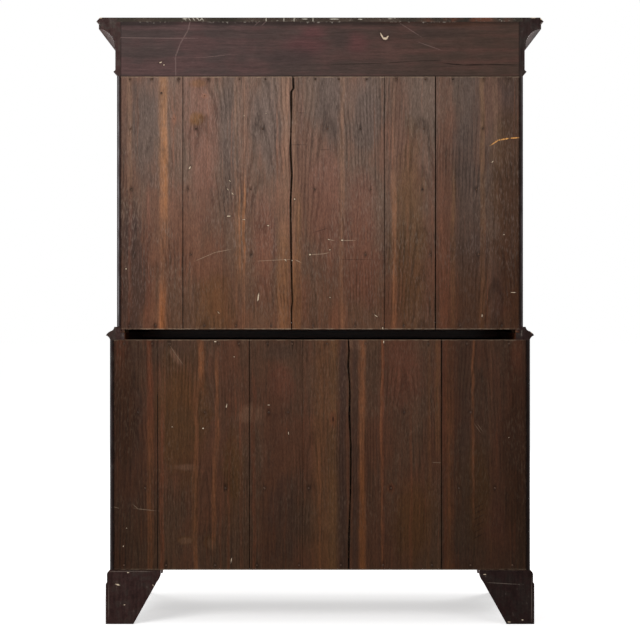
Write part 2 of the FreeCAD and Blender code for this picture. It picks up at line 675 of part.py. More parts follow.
def front_foot():
    """Right-hand front foot: two brackets mitred at the corner, and a glue block behind them."""
    outer_x = LOWER_HALF + FOOT_REACH
    outer_y = LOWER_FRONT - FOOT_REACH
    inner_x = outer_x - BASE_STOCK
    inner_y = outer_y + BASE_STOCK
    front_zone, side_zone = mitre_zones(LOWER, FOOT_REACH, BASE_STOCK - FOOT_REACH)

    def on_front(across, height):
        return Vector(outer_x - across, outer_y, height)

    def on_side(along, height):
        return Vector(outer_x, outer_y + along, height)

    front = bracket(on_front, Vector(0, BASE_STOCK, 0)).common(front_zone)
    side = bracket(on_side, Vector(-BASE_STOCK, 0, 0)).common(side_zone)
    block = box(inner_x - BLOCK_SIZE, inner_x, inner_y, inner_y + BLOCK_SIZE,
                BLOCK_CLEARANCE, BRACKET_HEIGHT)
    return [front, side, block]


def back_foot():
    """Right-hand back foot: a side bracket, a plain sloping board across the back, and a glue block."""
    outer_x = LOWER_HALF + FOOT_REACH
    inner_x = outer_x - BASE_STOCK
    brace_front = BACK_Y - BRACE_THICKNESS

    def on_side(along, height):
        return Vector(outer_x, BACK_Y - along, height)

    def on_back(across, height):
        return Vector(outer_x - across, BACK_Y, height)

    side = bracket(on_side, Vector(-BASE_STOCK, 0, 0))
    curve_middle = (BRACE_SHOULDER + (BRACE_TOP - BRACE_SHOULDER) * BRACE_CURVE_SHARE,
                    (BRACE_SHOULDER_HEIGHT + LOWER_FLOOR) / 2 - BRACE_CURVE_DROP)
    steps = [
        (BRACE_TOE, 0),
        (BRACE_SHOULDER, BRACE_SHOULDER_HEIGHT),
        (curve_middle, (BRACE_TOP, LOWER_FLOOR)),
        (BASE_STOCK, LOWER_FLOOR),
    ]
    brace = curved_face(on_back, (BASE_STOCK, 0), steps).extrude(Vector(0, -BRACE_THICKNESS, 0))
    block = box(inner_x - BLOCK_SIZE, inner_x, brace_front - BLOCK_SIZE, brace_front,
                BLOCK_CLEARANCE, BRACKET_HEIGHT)
    return [side, brace, block]


def feet():
    """All four bracket feet."""
    pieces = []
    for piece in front_foot() + back_foot():
        pieces += both_hands(piece)
    export("bracket_feet", pieces)


# ---------------------------------------------------------------- drawers
def tails(x0, x1, base_y, tip_y, low, high):
    """Dovetail tails of a drawer side: wider at the tip, with half a pin at each end of the row."""
    count = max(2, round((high - low) / TAIL_PITCH))
    pitch = (high - low) / count
    tip_half = (pitch - PIN_NECK) / 2
    base_half = tip_half - abs(tip_y - base_y) * TAIL_SLOPE
    shapes = []
    for number in range(count):
        middle = low + pitch * (number + 0.5)
        corners = [
            Vector(x0, base_y, middle - base_half),
            Vector(x0, base_y, middle + base_half),
            Vector(x0, tip_y, middle + tip_half),
            Vector(x0, tip_y, middle - tip_half),
        ]
        shapes.append(prism(corners, Vector(x1 - x0, 0, 0)))
    return Part.makeCompound(shapes)


def keyhole(drawer, back):
    """The hole for the key, from in front of the escutcheon to a depth."""
    start = drawer.face - ESCUTCHEON_THICKNESS - MARGIN
    centre = Vector(drawer.middle_x, start, drawer.key_z)
    bore = Part.makeCylinder(KEYHOLE_RADIUS, back - start, centre, Vector(0, 1, 0))
    half = KEYHOLE_SLOT / 2
    slot = box(drawer.middle_x - half, drawer.middle_x + half, start, back,
               drawer.key_z - KEYHOLE_DROP, drawer.key_z)
    return bore.fuse(slot)


def lock(drawer):
    """The lock in the back of a drawer front, with its bolt drawn down."""
    half = LOCK_WIDTH / 2
    front = drawer.front_back - LOCK_THICKNESS
    body = box(drawer.middle_x - half, drawer.middle_x + half, front, drawer.front_back,
               drawer.lock_top - LOCK_HEIGHT, drawer.lock_top)
    bolt_y = drawer.front_back - LOCK_THICKNESS / 2
    bolt = box(drawer.middle_x - BOLT_WIDTH / 2, drawer.middle_x + BOLT_WIDTH / 2,
               bolt_y - BOLT_THICKNESS / 2, bolt_y + BOLT_THICKNESS / 2, drawer.lock_top, drawer.top)
    return body.fuse(bolt)


def post_places(drawer):
    """Where the posts of both handles go through a drawer front."""
    places = []
    for handle_x in drawer.handle_xs:
        for hand in (-1, 1):
            places.append(handle_x + hand * BAIL_CENTRES / 2)
    return places


def post_holes(drawer):
    """Clearance holes for the threaded shanks."""
    holes = []
    for x in post_places(drawer):
        start = Vector(x, drawer.face - MARGIN, drawer.pivot_z)
        radius = SHANK_RADIUS + SHANK_HOLE_GAP
        holes.append(Part.makeCylinder(radius, FRONT_THICKNESS + 2 * MARGIN, start, Vector(0, 1, 0)))
    return holes


def bead_strip(length):
    """A cockbead strip with mitred ends, its outer edge on the X axis and its body below it."""
    nose = BEAD_THICKNESS / 2
    steps = [
        (BEAD_SEAT, -BEAD_THICKNESS),
        (nose - BEAD_PROJECTION, -BEAD_THICKNESS),
        ((-BEAD_PROJECTION, -nose), (nose - BEAD_PROJECTION, 0)),
    ]
    strip = curved_face(lambda y, z: Vector(0, y, z), (BEAD_SEAT, 0), steps).extrude(Vector(length, 0, 0))
    ends = [
        Vector(0, -BEAD_PROJECTION - MARGIN, 0),
        Vector(length, -BEAD_PROJECTION - MARGIN, 0),
        Vector(length - BEAD_THICKNESS, -BEAD_PROJECTION - MARGIN, -BEAD_THICKNESS),
        Vector(BEAD_THICKNESS, -BEAD_PROJECTION - MARGIN, -BEAD_THICKNESS),
    ]
    return strip.common(prism(ends, Vector(0, BEAD_SEAT + BEAD_PROJECTION + 2 * MARGIN, 0)))


def cockbeads(drawer):
    """The four bead strips round a drawer front, each turned to its own edge."""
    width = drawer.right - drawer.left
    height = drawer.top - drawer.bottom
    runs = [
        (width, 0, drawer.left, drawer.top),
        (height, 90, drawer.right, drawer.top),
        (width, 180, drawer.right, drawer.bottom),
        (height, 270, drawer.left, drawer.bottom),
    ]
    strips = []
    for length, turn, x, z in runs:
        strip = bead_strip(length)
        strip.rotate(Vector(0, 0, 0), Vector(0, 1, 0), turn)
        strip.translate(Vector(x, drawer.face, z))
        strips.append(strip)
    return strips


def drawer_panel(drawer):
    """The drawer's bottom, let into the front and the sides and nailed up under the back."""
    reach = LINING - PANEL_GROOVE
    return box(drawer.left + reach, drawer.right - reach, drawer.front_back - PANEL_GROOVE,
               drawer.back, drawer.panel_bottom, drawer.panel_top)


def drawer_side(drawer, x0, x1, panel):
    """One oak side, with tails at the front and open sockets for the back's pins."""
    back_front = drawer.back - DRAWER_BACK
    front_tails = tails(x0, x1, drawer.front_back, drawer.front_back - TAIL_LENGTH,
                        drawer.bottom, drawer.lining_top)
    zone = box(x0, x1, back_front, drawer.back, drawer.panel_top, drawer.back_top)
    back_tails = tails(x0, x1, back_front, drawer.back, drawer.panel_top, drawer.back_top)
    board = box(x0, x1, drawer.front_back, drawer.back, drawer.bottom, drawer.lining_top)
    side = board.fuse(front_tails).cut(zone.cut(back_tails)).cut(panel).removeSplitter()
    return side, front_tails, back_tails


def drawer_nodes(drawer):
    """Front and oak box of one drawer."""
    panel = drawer_panel(drawer)
    left, left_tails, left_pins = drawer_side(drawer, drawer.left, drawer.left + LINING, panel)
    right, right_tails, right_pins = drawer_side(drawer, drawer.right - LINING, drawer.right, panel)
    back = box(drawer.left, drawer.right, drawer.back - DRAWER_BACK, drawer.back,
               drawer.panel_top, drawer.back_top)
    back = back.cut(left_pins).cut(right_pins)
    front = box(drawer.left, drawer.right, drawer.face, drawer.front_back, drawer.bottom, drawer.top)
    seat = box(drawer.left, drawer.right, drawer.face, drawer.face + BEAD_SEAT,
               drawer.bottom, drawer.top)
    field = box(drawer.left + BEAD_THICKNESS, drawer.right - BEAD_THICKNESS, drawer.face,
                drawer.face + BEAD_SEAT, drawer.bottom + BEAD_THICKNESS, drawer.top - BEAD_THICKNESS)
    cutters = [seat.cut(field), left_tails, right_tails, panel, lock(drawer),
               keyhole(drawer, drawer.front_back), *post_holes(drawer)]
    for cutter in cutters:
        front = front.cut(cutter)
    export(f"{drawer.name}_front", [front] + cockbeads(drawer))
    export(f"{drawer.name}_box", [left, right, panel, back])


# ---------------------------------------------------------------- brasses
def turned(points, centre):
    """A piece turned about a line along Y through centre, from radius and distance pairs."""
    corners = [Vector(radius, along, 0) for radius, along in points]
    face = Part.Face(Part.makePolygon(corners + corners[:1]))
    solid = face.revolve(Vector(0, 0, 0), Vector(0, 1, 0), 360)
    solid.translate(centre)
    return solid


def handle_post(x, drawer):
    """A post with a round head bored for the bail, its threaded shank through the front."""
    reach = FRONT_THICKNESS + NUT_THICKNESS + SHANK_END
    centre = Vector(x, drawer.face, drawer.pivot_z)
    stem = turned([(0, reach), (SHANK_RADIUS, reach), (SHANK_RADIUS, 0), (POST_NECK_RADIUS, 0),
                   (POST_NECK_RADIUS, -PIVOT_STANDOFF), (0, -PIVOT_STANDOFF)], centre)
    head_centre = Vector(x, drawer.pivot_y, drawer.pivot_z)
    head = Part.makeSphere(POST_HEAD_RADIUS, head_centre)
    start = head_centre - Vector(POST_HEAD_RADIUS + MARGIN, 0, 0)
    bore = Part.makeCylinder(BAIL_PIN_RADIUS + BAIL_PIN_GAP, 2 * (POST_HEAD_RADIUS + MARGIN),
                             start, Vector(1, 0, 0))
    return stem.fuse(head).cut(bore).removeSplitter()


def rose(x, drawer):
    """The dished round plate under a post."""
    centre = Vector(x, drawer.face, drawer.pivot_z)
    step = (ROSE_RADIUS + POST_NECK_RADIUS) / 2
    return turned([(POST_NECK_RADIUS, 0), (ROSE_RADIUS, 0), (ROSE_RADIUS, -ROSE_RIM),
                   (step + ROSE_STEP, -ROSE_RIM - ROSE_ROUND), (step, -ROSE_CROWN + ROSE_ROUND),
                   (POST_NECK_RADIUS, -ROSE_CROWN)], centre)


def nut(x, drawer):
    """The square nut that draws a post tight from inside the drawer."""
    half = NUT_WIDTH / 2
    plate = box(x - half, x + half, drawer.front_back, drawer.front_back + NUT_THICKNESS,
                drawer.pivot_z - half, drawer.pivot_z + half)
    start = Vector(x, drawer.face, drawer.pivot_z)
    shank = Part.makeCylinder(SHANK_RADIUS, FRONT_THICKNESS + 2 * NUT_THICKNESS, start, Vector(0, 1, 0))
    return plate.cut(shank)


def escutcheon(drawer):
    """The oval plate round the keyhole."""
    centre = Vector(drawer.middle_x, drawer.face, drawer.key_z)
    top = centre + Vector(0, 0, ESCUTCHEON_HALF_HEIGHT)
    side = centre + Vector(ESCUTCHEON_HALF_WIDTH, 0, 0)
    outline = Part.Wire([Part.Ellipse(top, side, centre).toShape()])
    plate = Part.Face(outline).extrude(Vector(0, -ESCUTCHEON_THICKNESS, 0))
    return plate.cut(keyhole(drawer, drawer.face + MARGIN))


def brasses(drawer):
    """Posts, roses, nuts, escutcheon and lock of one drawer."""
    pieces = [escutcheon(drawer), lock(drawer).cut(keyhole(drawer, drawer.front_back - LOCK_THICKNESS / 2))]
    for x in post_places(drawer):
        pieces += [handle_post(x, drawer), rose(x, drawer), nut(x, drawer)]
    export(f"{drawer.name}_brasses", pieces)


def bend(centre, radius, first, last):
    """An arc in the XZ plane about a centre, between two angles in degrees."""
    points = []
    for angle in (first, (first + last) / 2, last):
        turn = math.radians(angle)
        points.append(Vector(centre[0] + radius * math.cos(turn), 0, centre[1] + radius * math.sin(turn)))
    return Part.Arc(*points).toShape()


def neck_centres():
    """Centres of the three bends of the right-hand swan neck, from the pin down to the grip."""
    start = BAIL_CENTRES / 2 - POST_HEAD_RADIUS - BAIL_HEAD_GAP
    lean = math.radians(BAIL_LEAN)
    shoulder = (start - BAIL_PIN_RADIUS, -BAIL_SHOULDER)
    throat = (shoulder[0] - BAIL_SHOULDER + BAIL_THROAT, -BAIL_SHOULDER)
    reach = BAIL_THROAT + BAIL_BREAST
    breast = (throat[0] - reach * math.cos(lean), throat[1] - reach * math.sin(lean))
    return start, shoulder, throat, breast


def bail():
    """A swan-neck bail that hangs from the origin, its pins on the X axis."""
    start, shoulder, throat, breast = neck_centres()
    floor = breast[1] - BAIL_BREAST
    up, left, down = 90, 180, -90  # directions in degrees
    lead = Part.makeLine(Vector(start, 0, 0), Vector(shoulder[0], 0, 0))
    neck = [
        lead,
        bend(shoulder, BAIL_SHOULDER, up, left),
        bend(throat, BAIL_THROAT, left, left + BAIL_LEAN),
        bend(breast, BAIL_BREAST, BAIL_LEAN, down),
    ]
    run = Part.makeLine(Vector(breast[0], 0, floor), Vector(-breast[0], 0, floor))
    mirrored_neck = [mirrored(edge) for edge in reversed(neck)]
    path = Part.Wire(Part.__sortEdges__(neck + [run] + mirrored_neck))
    section = Part.Wire([Part.makeCircle(BAIL_RADIUS, Vector(start, 0, 0), Vector(1, 0, 0))])
    tube = path.makePipeShell([section], True, False)
    half = breast[0] - MARGIN
    slim = BAIL_RADIUS - GRIP_SINK
    grip_outline = [
        Part.makeLine(Vector(-half, 0, floor), Vector(-half, 0, floor + slim)),
        Part.Arc(Vector(-half, 0, floor + slim), Vector(0, 0, floor + GRIP_RADIUS),
                 Vector(half, 0, floor + slim)).toShape(),
        Part.makeLine(Vector(half, 0, floor + slim), Vector(half, 0, floor)),
        Part.makeLine(Vector(half, 0, floor), Vector(-half, 0, floor)),
    ]
    grip = Part.Face(Part.Wire(grip_outline)).revolve(Vector(0, 0, floor), Vector(1, 0, 0), 360)
    pin_length = BAIL_CENTRES / 2 + MARGIN - shoulder[0]
    pin = Part.makeCylinder(BAIL_PIN_RADIUS, pin_length, Vector(shoulder[0], 0, 0), Vector(1, 0, 0))
    whole = tube.fuse([grip, pin, mirrored(pin)])
    return whole.removeSplitter()


def bails(drawer, pattern):
    """The two bails of a drawer, hanging on their posts."""
    for hand, handle_x in zip(("left", "right"), drawer.handle_xs):
        piece = pattern.copy()
        piece.translate(Vector(handle_x, drawer.pivot_y, drawer.pivot_z))
        export(f"{drawer.name}_bail_{hand}", [piece])


os.makedirs("parts", exist_ok=True)
lower_case()
upper_case()
back()
base_moulding()
feet()
waist_moulding()
frieze()
cornice_moulding()
BAIL = bail()
for each in LOWER_DRAWERS + UPPER_DRAWERS:
    drawer_nodes(each)
    brasses(each)
    bails(each, BAIL)
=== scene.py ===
# %% [markdown]
# # A chest on chest in Blender
# The shapes of this Georgian chest on chest come from its CAD model: two cases, eight drawers, mouldings,
# feet and brasses, each a mesh that already stands in its place. What is left to do here is what wood, iron
# and brass look like after two hundred years. The model is loaded first.

# %% Load the chest
import math
import random
from functools import partialmethod

import bmesh
import bpy
from mathutils import Matrix, Vector


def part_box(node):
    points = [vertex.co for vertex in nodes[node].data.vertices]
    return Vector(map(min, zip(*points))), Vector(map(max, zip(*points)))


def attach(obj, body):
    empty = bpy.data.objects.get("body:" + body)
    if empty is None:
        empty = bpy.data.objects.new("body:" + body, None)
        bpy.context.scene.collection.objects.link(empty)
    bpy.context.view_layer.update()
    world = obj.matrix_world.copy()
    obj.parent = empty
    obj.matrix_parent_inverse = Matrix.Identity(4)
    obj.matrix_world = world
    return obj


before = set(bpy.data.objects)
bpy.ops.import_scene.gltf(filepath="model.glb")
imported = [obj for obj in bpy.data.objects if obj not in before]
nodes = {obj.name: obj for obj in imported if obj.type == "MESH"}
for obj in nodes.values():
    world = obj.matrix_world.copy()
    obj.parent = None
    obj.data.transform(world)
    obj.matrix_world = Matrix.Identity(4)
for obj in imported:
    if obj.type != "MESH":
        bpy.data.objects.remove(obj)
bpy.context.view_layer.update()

back_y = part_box("cornice_back_rail")[1].y

# %% [markdown]
# ## Camera
# The chest is seen from straight behind, from five metres off and from about the height of the waist, so
# the waist moulding shows its end and no top. A camera could be aimed with a constraint, but a plain turn
# is exact here, because it looks level along -Y. The camera, nails, floor and lamps all enter the scene the
# same way, so that gets a function of its own.

# %% Camera behind the chest
CAMERA_DISTANCE = 5
CAMERA_HEIGHT = 0.869
SENSOR_WIDTH = 36  # millimetres
FOCAL_SHARE = 2.7339  # focal length as a share of the picture's width


def new_object(data):
    """Puts new data in the scene, as an object of the same name."""
    added = bpy.data.objects.new(data.name, data)
    bpy.context.scene.collection.objects.link(added)
    return added


camera_data = bpy.data.cameras.new("camera")
camera_data.sensor_width = SENSOR_WIDTH
camera_data.lens = SENSOR_WIDTH * FOCAL_SHARE
camera = new_object(camera_data)
camera.location = (0, back_y + CAMERA_DISTANCE, CAMERA_HEIGHT)
camera.rotation_euler = (math.radians(90), 0, math.radians(180))
bpy.context.scene.camera = camera
print("camera", round(camera_data.lens, 1), "mm")

# %% [markdown]
# ## Shader arithmetic
# Wood is layer on layer of drawn-out noise, and wiring each Math node by hand would bury the recipe. A
# small class holds one output socket of a node, and Python's own operators on it add the Math nodes. Every
# other kind of node comes from its add method: settings first, then the values or links of its sockets.

# %% A socket that Python can reckon with
class Wire:
    """One output socket of a shader node."""

    def __init__(self, tree, socket):
        self.tree = tree
        self.socket = socket

    def add(self, kind, inputs, output=0, stops=None, **settings):
        """Adds a node and gives back one of its outputs."""
        node = self.tree.nodes.new(kind)
        for name, value in settings.items():
            setattr(node, name, value)
        if stops:
            ramp = node.color_ramp
            ramp.interpolation = stops[0]
            ramp.elements.remove(ramp.elements[1])
            for number, (place, colour) in enumerate(stops[1]):
                stop = ramp.elements[0] if number == 0 else ramp.elements.new(place)
                stop.position = place
                stop.color = colour
        for key, value in inputs.items():
            if isinstance(value, Wire):
                self.tree.links.new(value.socket, node.inputs[key])
            else:
                node.inputs[key].default_value = value
        return Wire(self.tree, node.outputs[output])

    def math(self, operation, *others):
        return self.add("ShaderNodeMath", dict(enumerate((self, *others))), operation=operation)

    def __rsub__(self, other):
        return self * -1 + other

    __add__ = __radd__ = partialmethod(math, "ADD")
    __sub__ = partialmethod(math, "SUBTRACT")
    __mul__ = __rmul__ = partialmethod(math, "MULTIPLY")
    __truediv__ = partialmethod(math, "DIVIDE")
    __pow__ = partialmethod(math, "POWER")
    __abs__ = partialmethod(math, "ABSOLUTE")


print("a socket can now be added, multiplied and raised to a power")

# %% [markdown]
# ## Words of the wood recipes
# A colour is written as it is seen, from 0 to 255, and turned into the linear light that Blender reckons
# with. The other words are the ones a grainer would use: a level that rises between two values, a mix of
# two colours, a shade, a flat noise, a noise that is drawn out along the grain, and a sway, which is a noise
# about zero that bends a line or frays an edge.

# %% Helpers for colours, levels and noise
def linear(value):
    value = value / 255
    return value / 12.92 if value <= 0.04045 else ((value + 0.055) / 1.055) ** 2.4


def paint(red, green, blue):
    return (linear(red), linear(green), linear(blue), 1)


def level(value, low, high, start=0, end=1):
    """Rises smoothly from start to end while value goes from low to high."""
    return value.add("ShaderNodeMapRange", {0: value, 1: low, 2: high, 3: start, 4: end},
                     interpolation_type="SMOOTHSTEP")


def reaches(value, low, high, soft):
    """1 while value lies between low and high, with both ends blurred by soft."""
    return level(value, low - soft, low + soft) * level(value, high - soft, high + soft, 1, 0)


def mix(factor, first, second):
    return factor.add("ShaderNodeMix", {0: factor, 6: first, 7: second}, output=2, data_type="RGBA")


def shade(colour, value):
    """The colour, darker or lighter by a factor."""
    colour = colour if isinstance(colour, Wire) else colour[:3]
    return value.add("ShaderNodeVectorMath", {0: colour, 3: value}, operation="SCALE")


def point(x, y, z):
    wire = next(part for part in (x, y, z) if isinstance(part, Wire))
    return wire.add("ShaderNodeCombineXYZ", {0: x, 1: y, 2: z})


def noise(place, size, detail=2, seed=0):
    """Noise from 0 to 1 whose blots are about size metres wide."""
    return place.add("ShaderNodeTexNoise", {"Vector": place, "W": seed, "Scale": 1 / size, "Detail": detail},
                     noise_dimensions="4D")


def sway(place, size, amount, detail=2, seed=0):
    """Noise about zero, as wide as amount."""
    return (noise(place, size, detail, seed) - 0.5) * amount


def drawn(across, depth, along, width, length, seed=0, detail=2):
    """Noise drawn out along the grain: streaks of about that width and length."""
    return noise(point(across / width, depth / width, along / length), 1, detail, seed)


def between(share, first, second):
    """A number that goes from first to second with share."""
    return first + (second - first) * share


def outputs_of(first):
    """The three outputs of the node whose first output this is."""
    return [first] + [Wire(first.tree, first.socket.node.outputs[number]) for number in (1, 2)]


def split_axes(place):
    return outputs_of(place.add("ShaderNodeSeparateXYZ", {0: place}))


def read_table(value, rows):
    """Three numbers from 0 to 1 that change in steps with value: rows are (start, the three numbers).

    They travel as the red, green and blue of a colour ramp.
    """
    stops = [(start, (*numbers, 1)) for start, numbers in rows]
    ramp = value.add("ShaderNodeValToRGB", {0: value}, stops=("CONSTANT", stops))
    return outputs_of(ramp.add("ShaderNodeSeparateColor", {0: ramp}))


def new_finish(name, roughness=0.6, gloss=0.06):
    """A plain material, its shader node and the wire of the object's own coordinates."""
    material = bpy.data.materials.new(name)
    material.use_nodes = True
    shader = material.node_tree.nodes["Principled BSDF"]
    shader.inputs["Roughness"].default_value = roughness
    shader.inputs["Specular IOR Level"].default_value = gloss
    source = Wire(material.node_tree, material.node_tree.nodes.new("ShaderNodeTexCoord").outputs["Object"])
    return material, shader, source.add("ShaderNodeVectorMath", {0: source}, operation="ADD")


def feed(shader, **wires):
    """Links wires to the shader's sockets; an underscore stands for a space."""
    for name, wire in wires.items():
        wire.tree.links.new(wire.socket, shader.inputs[name.replace("_", " ")])


def rough_surface(shader, height, distance):
    """Turns a height wire into small bumps of that depth in metres."""
    bump = height.add("ShaderNodeBump", {"Height": height, "Distance": distance, "Strength": 1})
    feed(shader, Normal=bump)


print("paint(110, 85, 70) is", [round(v, 3) for v in paint(110, 85, 70)])

# %% [markdown]
# ## Marks
# Chips, scratches, knots and nail stains sit at places of their own. Each one is an ellipse. A Mapping node
# for each would do, but a material with a hundred of them runs out of room. So the coordinates are turned
# once for each slope that occurs, and one multiply-and-add brings a mark's rim to a distance of 1 from the
# origin. The nearest mark wins, and some noise makes the rims ragged.

# %% Distance to the nearest mark
def nearest_mark(place, marks):
    """Marks are (x, z, half length, half width) on an upright face, and a slope in degrees if they have one.

    A positive slope rises to the right as seen from behind, which is towards -X.
    """
    marks = [(*mark, 0)[:5] for mark in marks]
    nearest = None
    for slope in sorted({mark[4] for mark in marks}):
        cosine, sine = math.cos(math.radians(-slope)), math.sin(math.radians(-slope))
        turned = [place.add("ShaderNodeVectorMath", {0: place, 1: axis}, output=1, operation="DOT_PRODUCT")
                  for axis in ((cosine, 0, sine), (-sine, 0, cosine))]
        turned = point(turned[0], 0, turned[1])
        for x, z, half_length, half_width, _ in [mark for mark in marks if mark[4] == slope]:
            centre = (x * cosine + z * sine, -x * sine + z * cosine)
            inside = turned.add("ShaderNodeVectorMath", {
                0: turned, 1: (1 / half_length, 0, 1 / half_width),
                2: (-centre[0] / half_length, 0, -centre[1] / half_width)}, operation="MULTIPLY_ADD")
            distance = inside.add("ShaderNodeVectorMath", {0: inside}, output=1, operation="LENGTH")
            nearest = distance if nearest is None else nearest.math("MINIMUM", distance)
    return nearest


def scratches(*lines):
    """Scratches, each a width and points: one thin mark for each run, a little longer than the run."""
    marks = []
    for width, *points in lines:
        for (x, z), (next_x, next_z) in zip(points, points[1:]):
            run = (x - next_x, next_z - z)
            marks.append(((x + next_x) / 2, (z + next_z) / 2, math.hypot(*run) / 2 * 1.1, width / 2,
                          round(math.degrees(math.atan2(run[1], run[0])), 1)))
    return marks


# %% [markdown]
# ## Back boards
# The backs are wide pine boards, never polished, brown with age and dirt, with streaks where sapwood or
# resin ran. A plain noise looks like marble here. So each board gets its own tone and seed, the grain is
# noise drawn out upright in several widths, the growth rings are circles about a heart behind the board,
# and each streak is a filter over the board's colour, with its own place, width and height.

# %% Filters
# What a streak or a stain does to the red, green and blue of the wood under it.
SAPWOOD = (2.2, 1.7, 1.1, 1)
ORANGE = (2.15, 1.8, 1.38, 1)
AMBER = (1.45, 1.35, 1.05, 1)
RUST = (1.65, 1.2, 1, 1)
ROSE = (1.24, 1.03, 1.02, 1)
PALE = (1.45, 1.36, 1.22, 1)
DUSTY = (1.75, 1.9, 1.95, 1)
KHAKI = (1.5, 1.5, 1.15, 1)
ASH = (0.8, 0.92, 1.02, 1)
DUSK = (0.66, 0.72, 0.86, 1)
OLIVE = (1.05, 0.98, 0.55, 1)
OCHRE = (1.18, 0.92, 0.5, 1)
UMBER = (0.8, 0.7, 0.58, 1)
WINE = (1.02, 0.78, 0.8, 1)
WARM = (1.07, 0.96, 0.92, 1)
COOL = (0.93, 1.01, 1.03, 1)
print("sapwood lifts red by", SAPWOOD[0], "and blue by", SAPWOOD[2])

# %% Boards and streaks
# Each board: its left-hand edge as x, the x of its heart, and its tone.
# The tones are darkest towards -X: partly each board's own tone, partly a painted fall-off of the light.
UPPER_BOARDS = [(-0.33, -0.5, 0.65), (-0.184, -0.29, 0.8), (0.081, -0.02, 0.9), (0.219, 0.17, 1.04),
                (0.392, 0.33, 0.97), (1, 0.47, 0.98)]
LOWER_BOARDS = [(-0.347, -0.46, 0.66), (-0.084, -0.24, 0.93), (0.0495, 0.02, 1), (0.202, 0.13, 0.92),
                (0.464, 0.33, 1.01), (1, 0.53, 0.82)]

# Each streak: x, half width, lowest and highest point, strength, filter.
UPPER_STREAKS = [
    (0.4465, 0.02, 1.06, 1.62, 0.5, PALE), (0.4475, 0.015, 1.16, 1.62, 0.9, SAPWOOD),
    (0.45, 0.017, 0.76, 0.98, 0.5, ORANGE), (0.449, 0.01, 0.76, 0.96, 0.8, SAPWOOD),
    (0.448, 0.011, 0.92, 1.16, 0.45, ORANGE), (0.545, 0.008, 1.22, 1.62, 0.85, PALE),
    (0.545, 0.006, 0.78, 1.22, 0.6, ROSE), (0.493, 0.008, 0.78, 1.25, 0.6, ROSE),
    (0.355, 0.05, 1.46, 1.62, 0.5, ROSE), (0.229, 0.016, 0.98, 1.2, 0.5, AMBER),
    (0.2385, 0.0045, 0.78, 1.62, 0.5, PALE), (0.23, 0.003, 1.02, 1.24, 0.8, ORANGE),
    (0.217, 0.004, 1.2, 1.62, 0.4, PALE), (0.218, 0.0042, 1.02, 1.26, 0.75, SAPWOOD),
    (0.217, 0.004, 0.78, 1.06, 0.5, PALE), (0.101, 0.02, 1.08, 1.62, 0.6, PALE),
    (0.103, 0.022, 0.78, 1.12, 0.9, AMBER), (0.069, 0.017, 0.78, 1.22, 1, AMBER),
    (0.0745, 0.01, 1.05, 1.55, 0.8, PALE), (-0.0625, 0.009, 0.78, 1.62, 0.75, PALE),
    (-0.211, 0.009, 0.78, 1.28, 0.6, ORANGE), (-0.211, 0.008, 1.22, 1.62, 0.4, PALE),
    (-0.356, 0.026, 0.78, 1.62, 0.45, RUST), (-0.38, 0.008, 0.78, 1.3, 0.8, AMBER),
    (-0.424, 0.036, 0.78, 1.62, 0.6, ASH), (-0.464, 0.009, 0.78, 1.62, 0.75, AMBER),
    (-0.5, 0.008, 1.3, 1.62, 0.6, PALE), (-0.505, 0.022, 0.87, 1.02, 0.6, DUSK)]
LOWER_STREAKS = [
    (0.57, 0.018, 0.72, 0.86, 0.6, RUST), (0.487, 0.01, 0.5, 0.86, 1, RUST),
    (0.487, 0.011, 0.1, 0.58, 0.75, ORANGE), (0.485, 0.0035, 0.1, 0.42, 0.9, ORANGE),
    (0.453, 0.008, 0.1, 0.6, 0.8, RUST), (0.34, 0.011, 0.68, 0.8, 1, SAPWOOD),
    (0.344, 0.011, 0.68, 0.86, 0.6, ORANGE), (0.356, 0.007, 0.1, 0.69, 0.95, ORANGE),
    (0.36, 0.012, 0.22, 0.46, 0.5, AMBER), (0.296, 0.007, 0.48, 0.75, 0.9, ORANGE),
    (0.305, 0.008, 0.22, 0.5, 0.8, ORANGE), (0.262, 0.004, 0.1, 0.5, 0.6, RUST),
    (0.228, 0.006, 0.1, 0.6, 0.3, RUST), (0.188, 0.006, 0.1, 0.7, 0.6, RUST),
    (-0.014, 0.042, 0.1, 0.86, 0.8, AMBER), (-0.037, 0.015, 0.1, 0.86, 0.85, KHAKI),
    (0.002, 0.006, 0.1, 0.5, 0.5, ORANGE), (-0.0655, 0.013, 0.1, 0.86, 1, DUSK),
    (-0.1, 0.01, 0.1, 0.86, 0.8, DUSK), (-0.1205, 0.012, 0.1, 0.86, 1, ORANGE),
    (-0.1215, 0.01, 0.1, 0.46, 1, SAPWOOD), (-0.179, 0.0055, 0.1, 0.86, 0.85, RUST),
    (-0.177, 0.0035, 0.1, 0.86, 0.6, ORANGE), (-0.26, 0.005, 0.1, 0.6, 0.4, RUST),
    (-0.312, 0.006, 0.1, 0.8, 0.6, AMBER), (-0.336, 0.009, 0.5, 0.86, 0.8, AMBER),
    (-0.369, 0.018, 0.1, 0.86, 1, RUST), (-0.372, 0.013, 0.1, 0.86, 0.7, AMBER),
    (-0.37, 0.005, 0.1, 0.6, 0.7, ORANGE), (-0.416, 0.018, 0.1, 0.86, 0.7, ASH),
    (-0.4405, 0.0045, 0.3, 0.86, 1, ORANGE), (-0.49, 0.004, 0.2, 0.86, 0.6, PALE),
    (-0.562, 0.02, 0.72, 0.84, 0.6, RUST)]
print(len(UPPER_BOARDS) + len(LOWER_BOARDS), "boards,", len(UPPER_STREAKS) + len(LOWER_STREAKS), "streaks")

